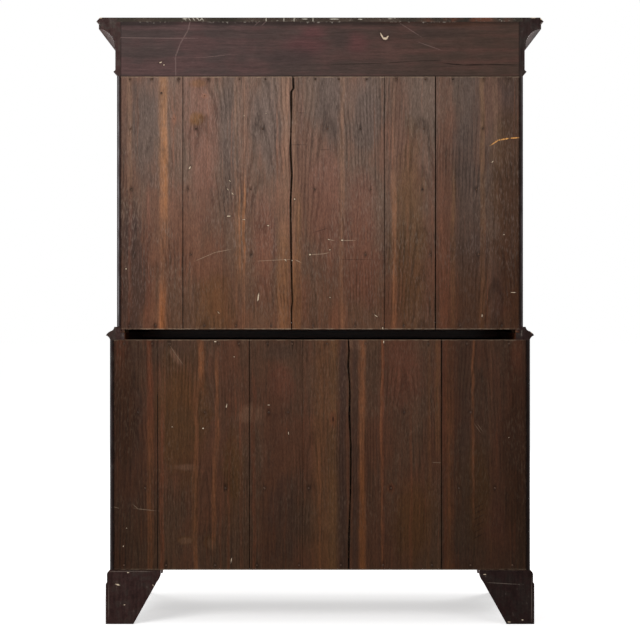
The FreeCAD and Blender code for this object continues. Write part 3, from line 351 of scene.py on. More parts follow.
# %% Stains, joints and splits
# Washes: a filter, its strength, and where it lies as x, z, half width, half height and perhaps a slope.
UPPER_WASHES = [
    (ROSE, 0.75, [(0.335, 1.36, 0.05, 0.22), (-0.02, 1.2, 0.055, 0.17), (-0.115, 1.1, 0.055, 0.22),
        (0.16, 1.08, 0.036, 0.17)]),
    (OCHRE, 0.9, [(0.352, 1.445, 0.024, 0.02, 25), (0.35, 1.545, 0.03, 0.014)]),
    (WINE, 0.8, [(-0.535, 1.23, 0.03, 0.045), (-0.53, 0.92, 0.03, 0.05)]),
    (ASH, 0.8, [(0.5, 1.42, 0.05, 0.18), (0.15, 1.42, 0.055, 0.15), (-0.03, 1.49, 0.05, 0.11),
        (-0.13, 1.46, 0.05, 0.14), (0.262, 1.4, 0.026, 0.2), (-0.42, 1.15, 0.045, 0.36)]),
    (OLIVE, 0.45, [(-0.255, 1.1, 0.05, 0.3), (0.3, 0.9, 0.06, 0.12), (-0.52, 1.3, 0.03, 0.2)]),
    (DUSK, 0.85, [(0.54, 0.96, 0.048, 0.22), (-0.545, 1.52, 0.04, 0.1), (-0.445, 1.06, 0.04, 0.08)]),
    (UMBER, 0.9, [(-0.56, 1.12, 0.07, 0.58), (-0.43, 0.9, 0.06, 0.16)])]
LOWER_WASHES = [
    (ASH, 0.9, [(0.42, 0.775, 0.07, 0.055), (0.39, 0.56, 0.05, 0.07), (0.12, 0.78, 0.06, 0.035)]),
    (ROSE, 0.9, [(0.565, 0.78, 0.02, 0.06), (0.11, 0.7, 0.04, 0.06), (-0.23, 0.73, 0.06, 0.11),
        (-0.56, 0.64, 0.03, 0.14), (-0.5, 0.28, 0.06, 0.08)]),
    (OLIVE, 0.65, [(0.4, 0.6, 0.085, 0.2), (0.25, 0.42, 0.03, 0.14), (0.3145, 0.2334, 0.018, 0.022),
        (0.385, 0.24, 0.026, 0.012), (-0.445, 0.37, 0.05, 0.15), (-0.27, 0.3, 0.06, 0.14)]),
    (DUSK, 0.5, [(0.54, 0.56, 0.035, 0.2), (0.1, 0.3, 0.06, 0.15)]),
    (UMBER, 0.9, [(-0.56, 0.48, 0.045, 0.32), (0.56, 0.6, 0.035, 0.18)]),
    (DUSTY, 0.75, [(0.408, 0.758, 0.034, 0.011, -57), (0.378, 0.448, 0.04, 0.01), (0.311, 0.228, 0.014, 0.016),
        (0.385, 0.238, 0.02, 0.01), (0.2, 0.6, 0.04, 0.03), (-0.032, 0.61, 0.014, 0.04),
        (-0.1, 0.8, 0.034, 0.02), (-0.02, 0.29, 0.024, 0.03)])]

# Joints: x, half width of the dark line, lowest and highest point, how dark.
UPPER_JOINTS = [(0.392, 0.0019, 0.7, 1.7, 0.8), (-0.184, 0.0016, 0.7, 1.7, 0.7), (-0.33, 0.0022, 0.7, 1.7, 0.9)]
LOWER_JOINTS = [(0.464, 0.0018, 0, 0.66, 0.8), (0.464, 0.001, 0.6, 0.9, 0.35),
                (0.202, 0.0019, 0, 0.9, 0.75), (0.0495, 0.001, 0, 0.9, 0.45),
                (-0.347, 0.0024, 0.66, 0.9, 0.95), (-0.347, 0.0017, 0, 0.7, 0.75),
                (0.52, 0.0013, 0.66, 0.9, 0.65)]

# Points up the two splits: height as a share of the boards' height, and x.
UPPER_SPLIT = [(0, 0.081), (0.079, 0.0815), (0.111, 0.079), (0.185, 0.0808), (0.325, 0.0827), (0.501, 0.0843),
               (0.61, 0.0806), (0.708, 0.0846), (0.833, 0.082), (0.939, 0.0823), (0.953, 0.0758), (1, 0.0774)]
LOWER_SPLIT = [(0, -0.082), (0.097, -0.0824), (0.167, -0.0832), (0.251, -0.0849), (0.334, -0.0871),
               (0.538, -0.088), (0.672, -0.0838), (0.757, -0.0854), (0.827, -0.0839), (0.885, -0.0804),
               (0.951, -0.0829), (1, -0.081)]
print(sum(len(places) for _, _, places in UPPER_WASHES + LOWER_WASHES), "stains,",
      len(UPPER_JOINTS) + len(LOWER_JOINTS), "dark lines, 2 splits")

# %% Nails, chips and knots of the backs
def nail_row(height, places):
    return [(x, height) for x in places]


UPPER_NAILS = (
    nail_row(1.5575, (0.543, 0.48, 0.4043, 0.3197, 0.2302, 0.1562, 0.0132, -0.0541, -0.1337, -0.2184,
                      -0.3009, -0.3794, -0.4685, -0.5392))
    + nail_row(1.4155, (0.5412, 0.3554, 0.1638, -0.0212, -0.115, -0.2963, -0.4669))
    + nail_row(1.2425, (0.54, 0.3776, 0.1986, 0.0152, -0.1448, -0.2931, -0.4466))
    + nail_row(1.056, (0.53, 0.3694, 0.1961, -0.13, -0.3153, -0.4528))
    + nail_row(0.853, (0.545, 0.47, 0.33, 0.24, 0.14, 0.02, -0.1, -0.24, -0.4, -0.52))
    + [(0.4534, 1.5173)])
LOWER_NAILS = (
    nail_row(0.8015, (0.56, 0.48, 0.43, 0.29, 0.232, 0.15, 0.08, -0.02, -0.13, -0.31, -0.42,
                      -0.54))
    + nail_row(0.6053, (0.52, 0.33, 0.1465, 0.0913, -0.241, -0.431))
    + nail_row(0.3884, (0.5, 0.27, 0.1585, 0.0322, -0.2029, -0.3973, -0.5))
    + nail_row(0.168, (0.56, 0.44, 0.3, 0.18, 0.06, -0.06, -0.18, -0.32, -0.43, -0.55)))

# Each mark: x, z, half length, half width and perhaps a slope in degrees.
UPPER_CHIPS = [
    (0.3722, 1.3042, 0.0048, 0.0018, 60), (0.2606, 1.1659, 0.0055, 0.0014),
    (0.1766, 0.9333, 0.0105, 0.0018, 82), (0.1542, 1.4597, 0.0012, 0.0012), (0.2498, 1.23, 0.004, 0.001, -50),
    (0.2579, 1.2671, 0.003, 0.0009, -50), (0.264, 1.243, 0.003, 0.0008, -50), (0.217, 1.156, 0.004, 0.001),
    (0.217, 1.453, 0.0026, 0.0008, 90), (0.29, 0.89, 0.003, 0.0008, -50), (0.1482, 1.1387, 0.003, 0.0012),
    (0.0722, 1.2144, 0.002, 0.0024), (0.0285, 1.056, 0.0024, 0.0022), (0.0985, 1.04, 0.0034, 0.0009, -50),
    (0.08, 1.039, 0.0024, 0.0012), (-0.0251, 1.0991, 0.003, 0.001, -20), (-0.063, 1.097, 0.0028, 0.0018),
    (-0.0282, 1.0697, 0.0022, 0.0016), (-0.0288, 0.9333, 0.003, 0.0009, -20),
    (-0.16, 0.881, 0.0055, 0.0009, -35), (-0.1791, 0.846, 0.0036, 0.0014, 90), (0.5545, 1.015, 0.0018, 0.0018),
    (-0.4933, 1.3213, 0.0036, 0.0009, 50), (-0.5261, 1.1131, 0.0016, 0.0012), (-0.5527, 0.9476, 0.006, 0.0008),
    (-0.4632, 0.882, 0.004, 0.001, 90)]
UPPER_SCRATCHES = scratches(
    (0.0018, (0.025, 1.056), (-0.0087, 1.058), (-0.023, 1.061)), (0.002, (-0.0251, 1.0991), (-0.0394, 1.096)),
    (0.002, (-0.065, 1.0965), (-0.095, 1.0965)), (0.0014, (0.347, 1.042), (0.3, 1.062), (0.26, 1.07)),
    (0.0014, (0.17, 1.038), (0.09, 1.042)), (0.0022, (0.07, 1.041), (0.056, 1.034)))
UPPER_SCORES = scratches((0.003, (-0.4918, 1.371), (-0.51, 1.383), (-0.54, 1.3885), (-0.572, 1.3905)))
UPPER_SHADES = scratches(
    (0.0024, (0.0612, 1.4611), (0.0415, 1.4611)), (0.0024, (0.0786, 1.3698), (0.0418, 1.3698)),
    (0.002, (-0.0006, 1.3556), (-0.0288, 1.3556)), (0.002, (-0.0603, 1.0417), (-0.1406, 1.0417)),
    (0.0024, (0.0155, 1.1199), (-0.0197, 1.1308)))
LOWER_CHIPS = [
    (0.2672, 0.623, 0.0055, 0.001, 80), (0.334, 0.5593, 0.0022, 0.0016), (0.1465, 0.6259, 0.0032, 0.0008),
    (0.2456, 0.7635, 0.0014, 0.0009), (-0.1819, 0.807, 0.005, 0.0014, 90), (0.2536, 0.1812, 0.0075, 0.001, 80),
    (0.5529, 0.2739, 0.0013, 0.0008), (0.5621, 0.2218, 0.002, 0.0009, 90), (0.3, 0.807, 0.003, 0.0015),
    (0.09, 0.545, 0.0034, 0.0008, 90), (-0.54, 0.533, 0.0014, 0.0006, 20), (0.4227, 0.5636, 0.0013, 0.0009)]
LOWER_SCRATCHES = scratches(
    (0.0016, (0.5901, 0.335), (0.576, 0.331)), (0.002, (0.533, 0.34), (0.52, 0.329), (0.4739, 0.324)),
    (0.0014, (-0.322, 0.4622), (-0.344, 0.461)), (0.0011, (-0.443, 0.57), (-0.457, 0.55)),
    (0.001, (-0.45, 0.572), (-0.464, 0.552)), (0.0016, (0.425, 0.79), (0.412, 0.77), (0.396, 0.748)))
LOWER_SHADES = [(-0.455, z, 0.015, 0.0016, 28) for z in (0.338, 0.322, 0.306, 0.286, 0.269, 0.252)]
UPPER_KNOTS = [(0.3302, 1.5102, 0.003, 0.0026), (0.4174, 1.444, 0.0022, 0.005)]
LOWER_KNOTS = [(-0.2029, 0.3884, 0.004, 0.005), (-0.037, 0.585, 0.0036, 0.009)]
print(len(UPPER_NAILS) + len(LOWER_NAILS), "nails,", len(UPPER_CHIPS) + len(LOWER_CHIPS), "chips")

# %% The grain of an old board
FRAY = 0.004  # metres from one notch to the next along the rim of a mark


def spread(wire, amount):
    """A factor about 1 that follows a noise."""
    return 1 + (wire - 0.5) * amount


def filtered(colour, tint):
    return tint.add("ShaderNodeVectorMath", {0: colour, 1: tint}, operation="MULTIPLY")


def old_grain(across, depth, along, seed=0):
    """Streaks of three widths, and short fibres."""
    return (drawn(across, depth, along, 0.016, 0.45, seed + 1, 2),
            drawn(across, depth, along, 0.0065, 0.14, seed + 3, 2),
            drawn(across, depth, along, 0.004, 0.03, seed + 5, 3),
            drawn(across, depth, along, 0.0022, 0.009, seed + 9, 1))


def split_place(z, low, high, points):
    """The x of a split at the height z, out of a colour ramp that holds x between -1/8 and 1/8."""
    share = (z - low) / (high - low)
    ramp = share.add("ShaderNodeValToRGB", {0: share},
                     stops=("LINEAR", [(height, (x * 4 + 0.5,) * 3 + (1,)) for height, x in points]))
    return (ramp.add("ShaderNodeSeparateColor", {0: ramp}) - 0.5) / 4


def scarred(colour, place, chips, scratches, pale, strength=0.75):
    """Pale scratches, and chips with a dark rim."""
    ragged = sway(place, FRAY, 2, 3)
    line = nearest_mark(place, scratches) + ragged
    colour = mix(level(line, 1.6, 0.8, 0, 0.55), colour, pale)
    chip = nearest_mark(place, chips) + ragged
    colour = mix(level(chip, 3, 1.4, 0, 0.4), colour, paint(40, 28, 24))
    return mix(level(chip, 1.3, 0.7, 0, strength), colour, paint(206, 186, 160))


print("a mark's rim is frayed every", FRAY, "m")

# %% The back boards' finish
PINE_RING = 0.008  # metres from one growth ring to the next
HEART_DEPTH = 0.05  # how far behind the face a board's heart lies, one metre up
HEART_SLOPE = 0.055  # and how much deeper for each metre above that
NAIL_STAIN = (0.0052, 0.01)  # half width and half height of the black under a nail
EDGE_DARKENING = 0.0045  # width of the dark line along the outer edges


def board_finish(name, node, boards, streaks, washes, joints, split, marks, tones, ring_depth):
    """Aged pine boards side by side; marks are lists of places by their kind."""
    material, shader, place = new_finish(name)
    x, y, z = split_axes(place)
    low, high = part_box(node)
    half, feet, head = high.x, low.z, high.z
    rows = []
    edge = 0
    for number, (left, heart, tone) in enumerate(boards):
        rows.append((edge, ((heart + half) / (2 * half), number / 10, tone / 2)))
        edge = (left + half) / (2 * half)
    heart, seed, tone = read_table((x + half) / (2 * half), rows)
    seed *= 70
    knot_near = nearest_mark(place, marks["knots"])
    bent = x + sway(point(x * 2, y, z), 0.4, 0.016, seed=seed) + level(knot_near, 6, 0.5, 0, 0.006)
    walk = bent + sway(point(x * 2, y, z), 0.1, 0.014, seed=20)
    middle, fine, fibre, speckle = old_grain(bent, y, z, seed)
    cloud = noise(point(x, y, z * 0.7), 0.055, 3, 4)
    patch = noise(point(x * 1.6, y, z * 0.6), 0.16, 3, 31)

    out = bent - (heart * (2 * half) - half)
    tilt = (z - 1) * HEART_SLOPE + HEART_DEPTH
    ring = ((out * out + tilt * tilt) ** 0.5 + (cloud - 0.5) * 0.01) * (2 * math.pi / PINE_RING)
    rings = level(ring.math("SINE"), -0.2, 1) * level(noise(place, 0.14, 2, 12), 0.44, 0.6)

    # Lighter at the top than at the foot: partly aged colour, partly painted light from above.
    colour = mix(level(z, feet, head), tones[1], tones[0])
    tint = mix(level(patch + (fine - 0.5) * 0.35, 0.38, 0.62), COOL, WARM)
    for stain, strength, places in washes:
        near = nearest_mark(place, places) + (cloud - 0.5) * 1.6 + (fine - 0.5) * 0.6
        tint = mix(level(near, 1.25, 0.45, 0, strength), tint, stain)
    thread = drawn(walk, y, z, 0.0085, 0.4, 47, 2)
    tint = mix(level(thread, 0.6, 0.7, 0, 0.4), tint, RUST)
    tint = mix(level(thread, 0.36, 0.28, 0, 0.5), tint, DUSK)
    for streak_x, width, lowest, highest, strength, stain in streaks:
        near = level(abs(walk - streak_x), width * 0.3, width * 1.2, strength, 0)
        near *= reaches(z, lowest, highest, 0.05)
        tint = mix(near * level(middle + (fibre - 0.5) * 0.5, 0.3, 0.6, 0.55, 1), tint, stain)
    tint = mix(level(knot_near, 4, 1, 0, 0.6), tint, RUST)
    colour = filtered(colour, tint)

    # Each board's tone also carries a painted fall-off of the light towards -X.
    light = (tone * 2) * spread(middle, 0.45) * spread(fine, 0.6) * spread(fibre, 0.75) * spread(cloud, 0.55)
    light = light * spread(speckle, 0.9) * (1 - ring_depth * rings) * level(fine, 0.28, 0.38, 0.84, 1)
    stain = nearest_mark(place, [(nail_x, nail_z + 0.001, *NAIL_STAIN) for nail_x, nail_z in marks["nails"]])
    light *= 1 - level(stain + (fibre - 0.5) * 2, 1.6, 0.3) * level(cloud, 0.35, 0.65, 0.3, 0.55)
    light *= level(knot_near + (fine - 0.5), 0.4, 1.1, 0.35, 1)
    shades = nearest_mark(place, marks["shades"])
    light *= level(shades + (fibre - 0.5) * 1.5, 0.6, 1.5, 0.62, 1)
    # Darker along the outer edges, and a little darker over the outer 12 cm.
    rim = half - abs(x)
    light = light * level(rim, 0, EDGE_DARKENING, 0.3, 1) * level(rim, 0, 0.12, 0.74, 1)
    for joint_x, width, lowest, highest, dark in joints:
        near = level(abs(x - joint_x), width * 0.55, width, dark, 0)
        light *= 1 - near * reaches(z, lowest, highest, 0.01)
    gape = sway(point(0, y, z), 0.09, 0.0045, 1, 33)
    light *= level(abs(x - split_place(z, feet, head, split)) - gape, 0.002, 0.0038, 0.08, 1)
    colour = shade(colour, light)

    flecks = level(noise(point(walk / 0.0034, y, z / 0.016), 1, 3, 55), 0.48, 0.72)
    flecks = flecks * level(patch + (cloud - 0.5), 0.62, 0.42, 0.06, 0.26) * level(z, feet, feet + 0.3, 0.4, 1)
    colour = mix(flecks, colour, shade(tones[2], tone * 2))
    score = nearest_mark(place, marks["scores"]) + (fibre - 0.5) * 3.4
    colour = mix(level(score, 1.4, 0.5, 0, 0.85), colour, paint(204, 146, 82))
    colour = scarred(colour, place, marks["chips"], marks["scratches"], tones[3])
    # Pale ends: frayed worn wood at the foot and head, and along the head a thin painted highlight on the top
    # edge.
    frayed = noise(point(x / 0.016, y, z / 0.005), 1, 3)
    ends = level(z + (frayed - 0.5) * 0.012, feet + 0.0045, feet + 0.001)
    ends = ends.math("MAXIMUM", level(z + (frayed - 0.5) * 0.006, head - 0.004, head - 0.0012))
    ends *= level(frayed, 0.42, 0.58, 0.08, 0.75)
    ends = ends.math("MAXIMUM", level(z, head - 0.0026, head - 0.0012, 0, 0.42))
    colour = mix(ends, colour, shade(tones[3], tone * 1.8))
    feed(shader, Base_Color=colour, Roughness=level(cloud, 0.3, 0.7, 0.62, 0.82))
    rough_surface(shader, fine * 0.4 + fibre * 0.4 + middle * 0.2 - rings * 0.3, 0.0008)
    return material


def dress(material, *names):
    """Gives CAD nodes their finish, in the material slots they already have."""
    for name in names:
        for slot in nodes[name].material_slots:
            slot.material = material


def marks_of(*places):
    return dict(zip(("chips", "scratches", "scores", "shades", "knots", "nails"), places))


NOWHERE = [(0, -1, 0.001, 0.001)]  # a mark under the floor, where a list would be empty
UPPER_MARKS = marks_of(UPPER_CHIPS, UPPER_SCRATCHES, UPPER_SCORES, UPPER_SHADES, UPPER_KNOTS, UPPER_NAILS)
LOWER_MARKS = marks_of(LOWER_CHIPS, LOWER_SCRATCHES, NOWHERE, LOWER_SHADES, LOWER_KNOTS, LOWER_NAILS)
# Tones: the wood at the top and at the foot, dry flecks, and the wood where it is bruised.
# The top is lighter than the foot partly with age, partly as painted light from above.
UPPER_TONES = [paint(109, 87, 76), paint(87, 59, 44), paint(150, 130, 118), paint(152, 130, 110)]
LOWER_TONES = [paint(70, 47, 35), paint(58, 38, 26), paint(104, 84, 68), paint(112, 94, 78)]
dress(board_finish("upper_back_pine", "upper_back_boards", UPPER_BOARDS, UPPER_STREAKS, UPPER_WASHES,
                   UPPER_JOINTS, UPPER_SPLIT, UPPER_MARKS, UPPER_TONES, 0.3), "upper_back_boards")
dress(board_finish("lower_back_pine", "lower_back_boards", LOWER_BOARDS, LOWER_STREAKS, LOWER_WASHES,
                   LOWER_JOINTS, LOWER_SPLIT, LOWER_MARKS, LOWER_TONES, 0.24), "lower_back_boards")
print("both backs dressed;", len(UPPER_NAILS) + len(LOWER_NAILS), "nails have left a stain")

# %% [markdown]
# ## Rail behind the cornice
# One wide board lies across the back at the top. It was brushed with a dark stain, and its grain runs
# level, with one long shake near the end. The same words as for the boards do it, with the grain along X.

# %% The back rail's finish
RAIL_CHIPS = [
    (0.4552, 1.605, 0.004, 0.0016, 25), (0.446, 1.598, 0.0016, 0.0016), (0.3688, 1.729, 0.0026, 0.0015),
    (-0.1775, 1.68, 0.0095, 0.0019, -60), (-0.186, 1.6735, 0.0062, 0.0032), (-0.1925, 1.677, 0.005, 0.0018, 60)]
RAIL_SCRATCHES = scratches(
    (0.0028, (0.4125, 1.5725), (0.4125, 1.6222), (0.4, 1.6572), (0.378, 1.6963), (0.3702, 1.7249)),
    (0.0022, (0.575, 1.676), (0.46, 1.6745), (0.365, 1.674)), (0.0016, (-0.235, 1.713), (-0.28, 1.684)),
    (0.0016, (-0.29, 1.66), (-0.335, 1.644)), (0.0016, (0.185, 1.712), (0.17, 1.726)),
    (0.0016, (0.165, 1.712), (0.15, 1.726)), (0.0014, (0.33, 1.62), (0.27, 1.626)))
RAIL_SHAKES = scratches(
    (0.0032, (-0.3591, 1.602), (-0.41, 1.5975), (-0.47, 1.5985), (-0.5662, 1.598)),
    (0.0018, (-0.04, 1.6), (-0.18, 1.602), (-0.27, 1.609), (-0.34, 1.61)))
RAIL_WASHES = [
    ((1.42, 1, 1.12, 1), [(-0.105, 1.66, 0.04, 0.032), (0.045, 1.65, 0.07, 0.034),
                            (0.02, 1.69, 0.04, 0.02)]),
    ((0.78, 0.84, 0.86, 1), [(0.09, 1.62, 0.1, 0.03), (-0.06, 1.67, 0.03, 0.034),
                             (-0.34, 1.69, 0.12, 0.02)]),
    ((1.24, 1.02, 0.88, 1), [(-0.41, 1.715, 0.12, 0.01), (-0.24, 1.725, 0.09, 0.009)])]
BRUSHED_BAND = 1.704  # height of a paler band near one end of the rail


def rail_finish():
    material, shader, place = new_finish("stained_rail_pine")
    x, y, z = split_axes(place)
    low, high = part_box("cornice_back_rail")
    bent = z + sway(place, 0.3, 0.022)
    middle, fine, fibre, speckle = old_grain(bent, y, x, 2)
    cloud = noise(point(x * 0.6, y, z), 0.055, 3, 8)
    colour = mix(level(x, -0.6, 0.4), paint(66, 49, 42), paint(71, 56, 54))
    tint = mix(level(middle + (cloud - 0.5) * 1.2, 0.3, 0.7), (0.94, 1.01, 1, 1), (1.08, 0.98, 0.99, 1))
    near = level(abs(bent - BRUSHED_BAND), 0.003, 0.01, 0.8, 0)
    tint = mix(near * level(x, 0.22, 0.42), tint, (1.36, 1.28, 1.3, 1))
    for stain, places in RAIL_WASHES:
        patch = nearest_mark(place, places) + (cloud - 0.5) * 1.4 + (fine - 0.5) * 0.5
        tint = mix(level(patch, 1.3, 0.2, 0, 0.85), tint, stain)
    colour = filtered(colour, tint)
    light = spread(middle, 0.45) * spread(fine, 0.6) * spread(fibre, 0.7) * spread(cloud, 0.7)
    light *= spread(speckle, 0.4)
    shake = nearest_mark(place, RAIL_SHAKES) + (fine - 0.5)
    light *= level(shake, 0.6, 1.4, 0.25, 1)
    light = light * level(z, low.z, low.z + 0.004, 0.45, 1) * level(high.x - abs(x), 0, 0.004, 0.35, 1)
    top = high.z - z
    light *= level(top + (cloud - 0.5) * 0.02, 0.002, 0.016, 0.55, 1)
    colour = scarred(shade(colour, light), place, RAIL_CHIPS, RAIL_SCRATCHES, paint(112, 92, 88), 0.85)
    chipped = noise(place, 0.01, 3) * level(noise(place, 0.09, 1, 5), 0.42, 0.62, 0.75, 1)
    worn = level(top - (chipped - 0.5) * 0.03, 0.001, -0.001)
    colour = mix(worn * 0.5, colour, paint(140, 132, 122))
    feed(shader, Base_Color=colour, Roughness=level(cloud, 0.3, 0.7, 0.5, 0.72))
    rough_surface(shader, fine * 0.6 + fibre * 0.4, 0.0005)
    return material


dress(rail_finish(), "cornice_back_rail")
print("the rail's grain runs level, with", len(RAIL_SCRATCHES), "runs of scratches")

# %% [markdown]
# ## Mahogany
# Everything that shows from the front and the sides is mahogany, polished for two centuries to a deep red
# brown. The backs of these pieces were never polished and are nearly black, and dust lies on every ledge.
# One recipe serves all. It takes the direction of the grain, which turns at a mitre, and masks for what
# happened to the surface since: dust where it faces up, and dull wood near the plane of the back.

# %% Where the two cases end
# What is one number on the lower case and another on the upper case.
WAIST = (0.825, 0.84)  # heights between which the one gives way to the other
OUTER_FACES = (0.6, 0.58)  # sideways from the middle
INNER_FACES = (0.58, 0.56)
DRAWER_FACES = (-0.2635, -0.2435)  # the fronts, as y
DRAWER_ENDS = (0.5785, 0.5585)
BACK_SKIN = 0.0012  # how deep the dull wood at the back goes


def by_case(z, lower, upper):
    return level(z, *WAIST, lower, upper)


def at_back(y):
    """1 in the plane of the back."""
    return level(y, back_y - BACK_SKIN, back_y - BACK_SKIN / 3)


print("the cases are", 2 * OUTER_FACES[0], "and", 2 * OUTER_FACES[1], "m wide")

# %% Dust and raw backs
DUST_GREY = paint(118, 108, 98)
# Heights over which a mask goes from nothing to all.
SIDE_HEAD = (1.5665, 1.5645)  # going down: the upper case's side, under the rail
SIDE_FOOT = (0.1535, 0.155)  # going up: the lower case's side, over its moulding
WAIST_FOOT = (0.8105, 0.812)  # going up: the end of the waist moulding
WAIST_HEAD = (0.852, 0.8505)  # going down
ARRIS_PLACE = 0.0042  # how far in from the outer face the pale arris line lies: worn wood and a painted highlight


def dust_on(colour, place, amount):
    """Grey dust where the surface faces up; and how far it faces up, and down."""
    facing = place.add("ShaderNodeSeparateXYZ", {0: place.add("ShaderNodeNewGeometry", {}, output=1)}, output=2)
    drift = noise(place, 0.11, 4, 41) + sway(place, 0.006, 0.35, 2, 43)
    up = level(facing, 0.55, 0.95)
    colour = mix(up * level(drift, 0.36, 0.66, 0.3, 1) * amount, colour, DUST_GREY)
    return colour, up, level(facing, -0.1, -0.6)


def raw_back(place, x, y, z, fine, chips, scratches):
    """Where a piece ends in the plane of the back, and the colour it has there, with a painted fall-off of the
    light and a painted highlight on the arris.
    """
    raw = at_back(y)
    grime = noise(place, 0.018, 4, 17)
    soot = noise(point(x / 0.006, y, z / 0.045), 1, 3, 19)
    colour = mix(level(z, 0.15, 1.6), paint(45, 32, 30), paint(60, 48, 46))
    colour = filtered(colour, mix(level(grime, 0.42, 0.62), (1.1, 0.94, 0.92, 1), (0.92, 1.04, 0.98, 1)))
    # Painted light: the dull ends grow darker towards -X, a painted fall-off of the light from the +X side.
    light = level(x, -0.65, 0.3, 0.52, 1) * spread(fine, 0.9) * spread(grime, 1.8) * spread(soot, 1.4)
    colour = shade(colour, light)
    colour = mix(level(soot + (grime - 0.5) * 0.8, 0.7, 0.82, 0, 0.35), colour, paint(120, 108, 100))
    inward = by_case(z, *OUTER_FACES) - abs(x)
    case = level(inward, 0.0112, 0.0098) * level(inward, -0.0008, -0.0002) * level(z, *SIDE_HEAD)
    case = case * (1 - level(z, *WAIST_FOOT) * level(z, *WAIST_HEAD)) * level(z, *SIDE_FOOT)
    upper = level(z, 0.8, 0.86)
    off = abs(inward - ARRIS_PLACE)
    colour = shade(colour, 1 - case * level(off, 0.001, 0.0034, 0.45, 0.78) * (1 - upper * 0.35))
    # A pale line along the arris: worn wood, and a painted highlight that is brighter towards +X, where the
    # light comes from.
    arris = level(off, 0.002, 0.0006) * case * level(x, -0.1, 0.1, 0.2, 1)
    colour = mix(arris * level(soot, 0.35, 0.62, 0.45, 1) * (upper * 0.7 + 0.15), colour, paint(126, 122, 124))
    return raw, scarred(colour, place, chips, scratches, paint(104, 92, 84), 0.85)


END_CHIPS = [
    (0.5936, 1.6623, 0.003, 0.0016, 20), (-0.633, 1.729, 0.005, 0.0022, -30), (0.629, 1.732, 0.006, 0.0012),
    (-0.61, 1.7325, 0.008, 0.001), (0.605, 0.836, 0.0026, 0.0012), (-0.605, 0.833, 0.002, 0.0014),
    (0.5778, 0.1126, 0.0058, 0.002, -15), (0.5483, 0.1473, 0.0026, 0.0012), (0.5589, 0.0549, 0.0018, 0.001),
    (0.4769, 0.1108, 0.0024, 0.0009, -60), (-0.47, 0.142, 0.0036, 0.001), (-0.579, 0.012, 0.003, 0.0012),
    (-0.54, 0.006, 0.004, 0.001)]
END_SCRATCHES = scratches(
    (0.0018, (0.6, 0.15), (0.53, 0.1508), (0.49, 0.15)), (0.0016, (-0.49, 0.118), (-0.56, 0.114)),
    (0.0014, (0.604, 0.03), (0.604, 0.1)), (0.0016, (-0.605, 0.02), (-0.605, 0.11)))
print("dust, dull ends,", len(END_CHIPS), "chips on the ends")


# %% The mahogany finish
MAHOGANY_RING = 0.0105  # metres from one growth ring to the next
TABLE_HEIGHT = 1.8  # metres that the drawers' table stands for
SHORT_DRAWERS = (1.395, 1.4)  # heights over which the short drawers' row starts
GRIME_SIZE = (0.075, 0.04)  # half width and half height of the dark round a handle
BAILS = [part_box(name) for name in nodes if "_bail_" in name]
GRIME = [((low.x + high.x) / 2, (low.z + high.z) / 2, *GRIME_SIZE) for low, high in BAILS]


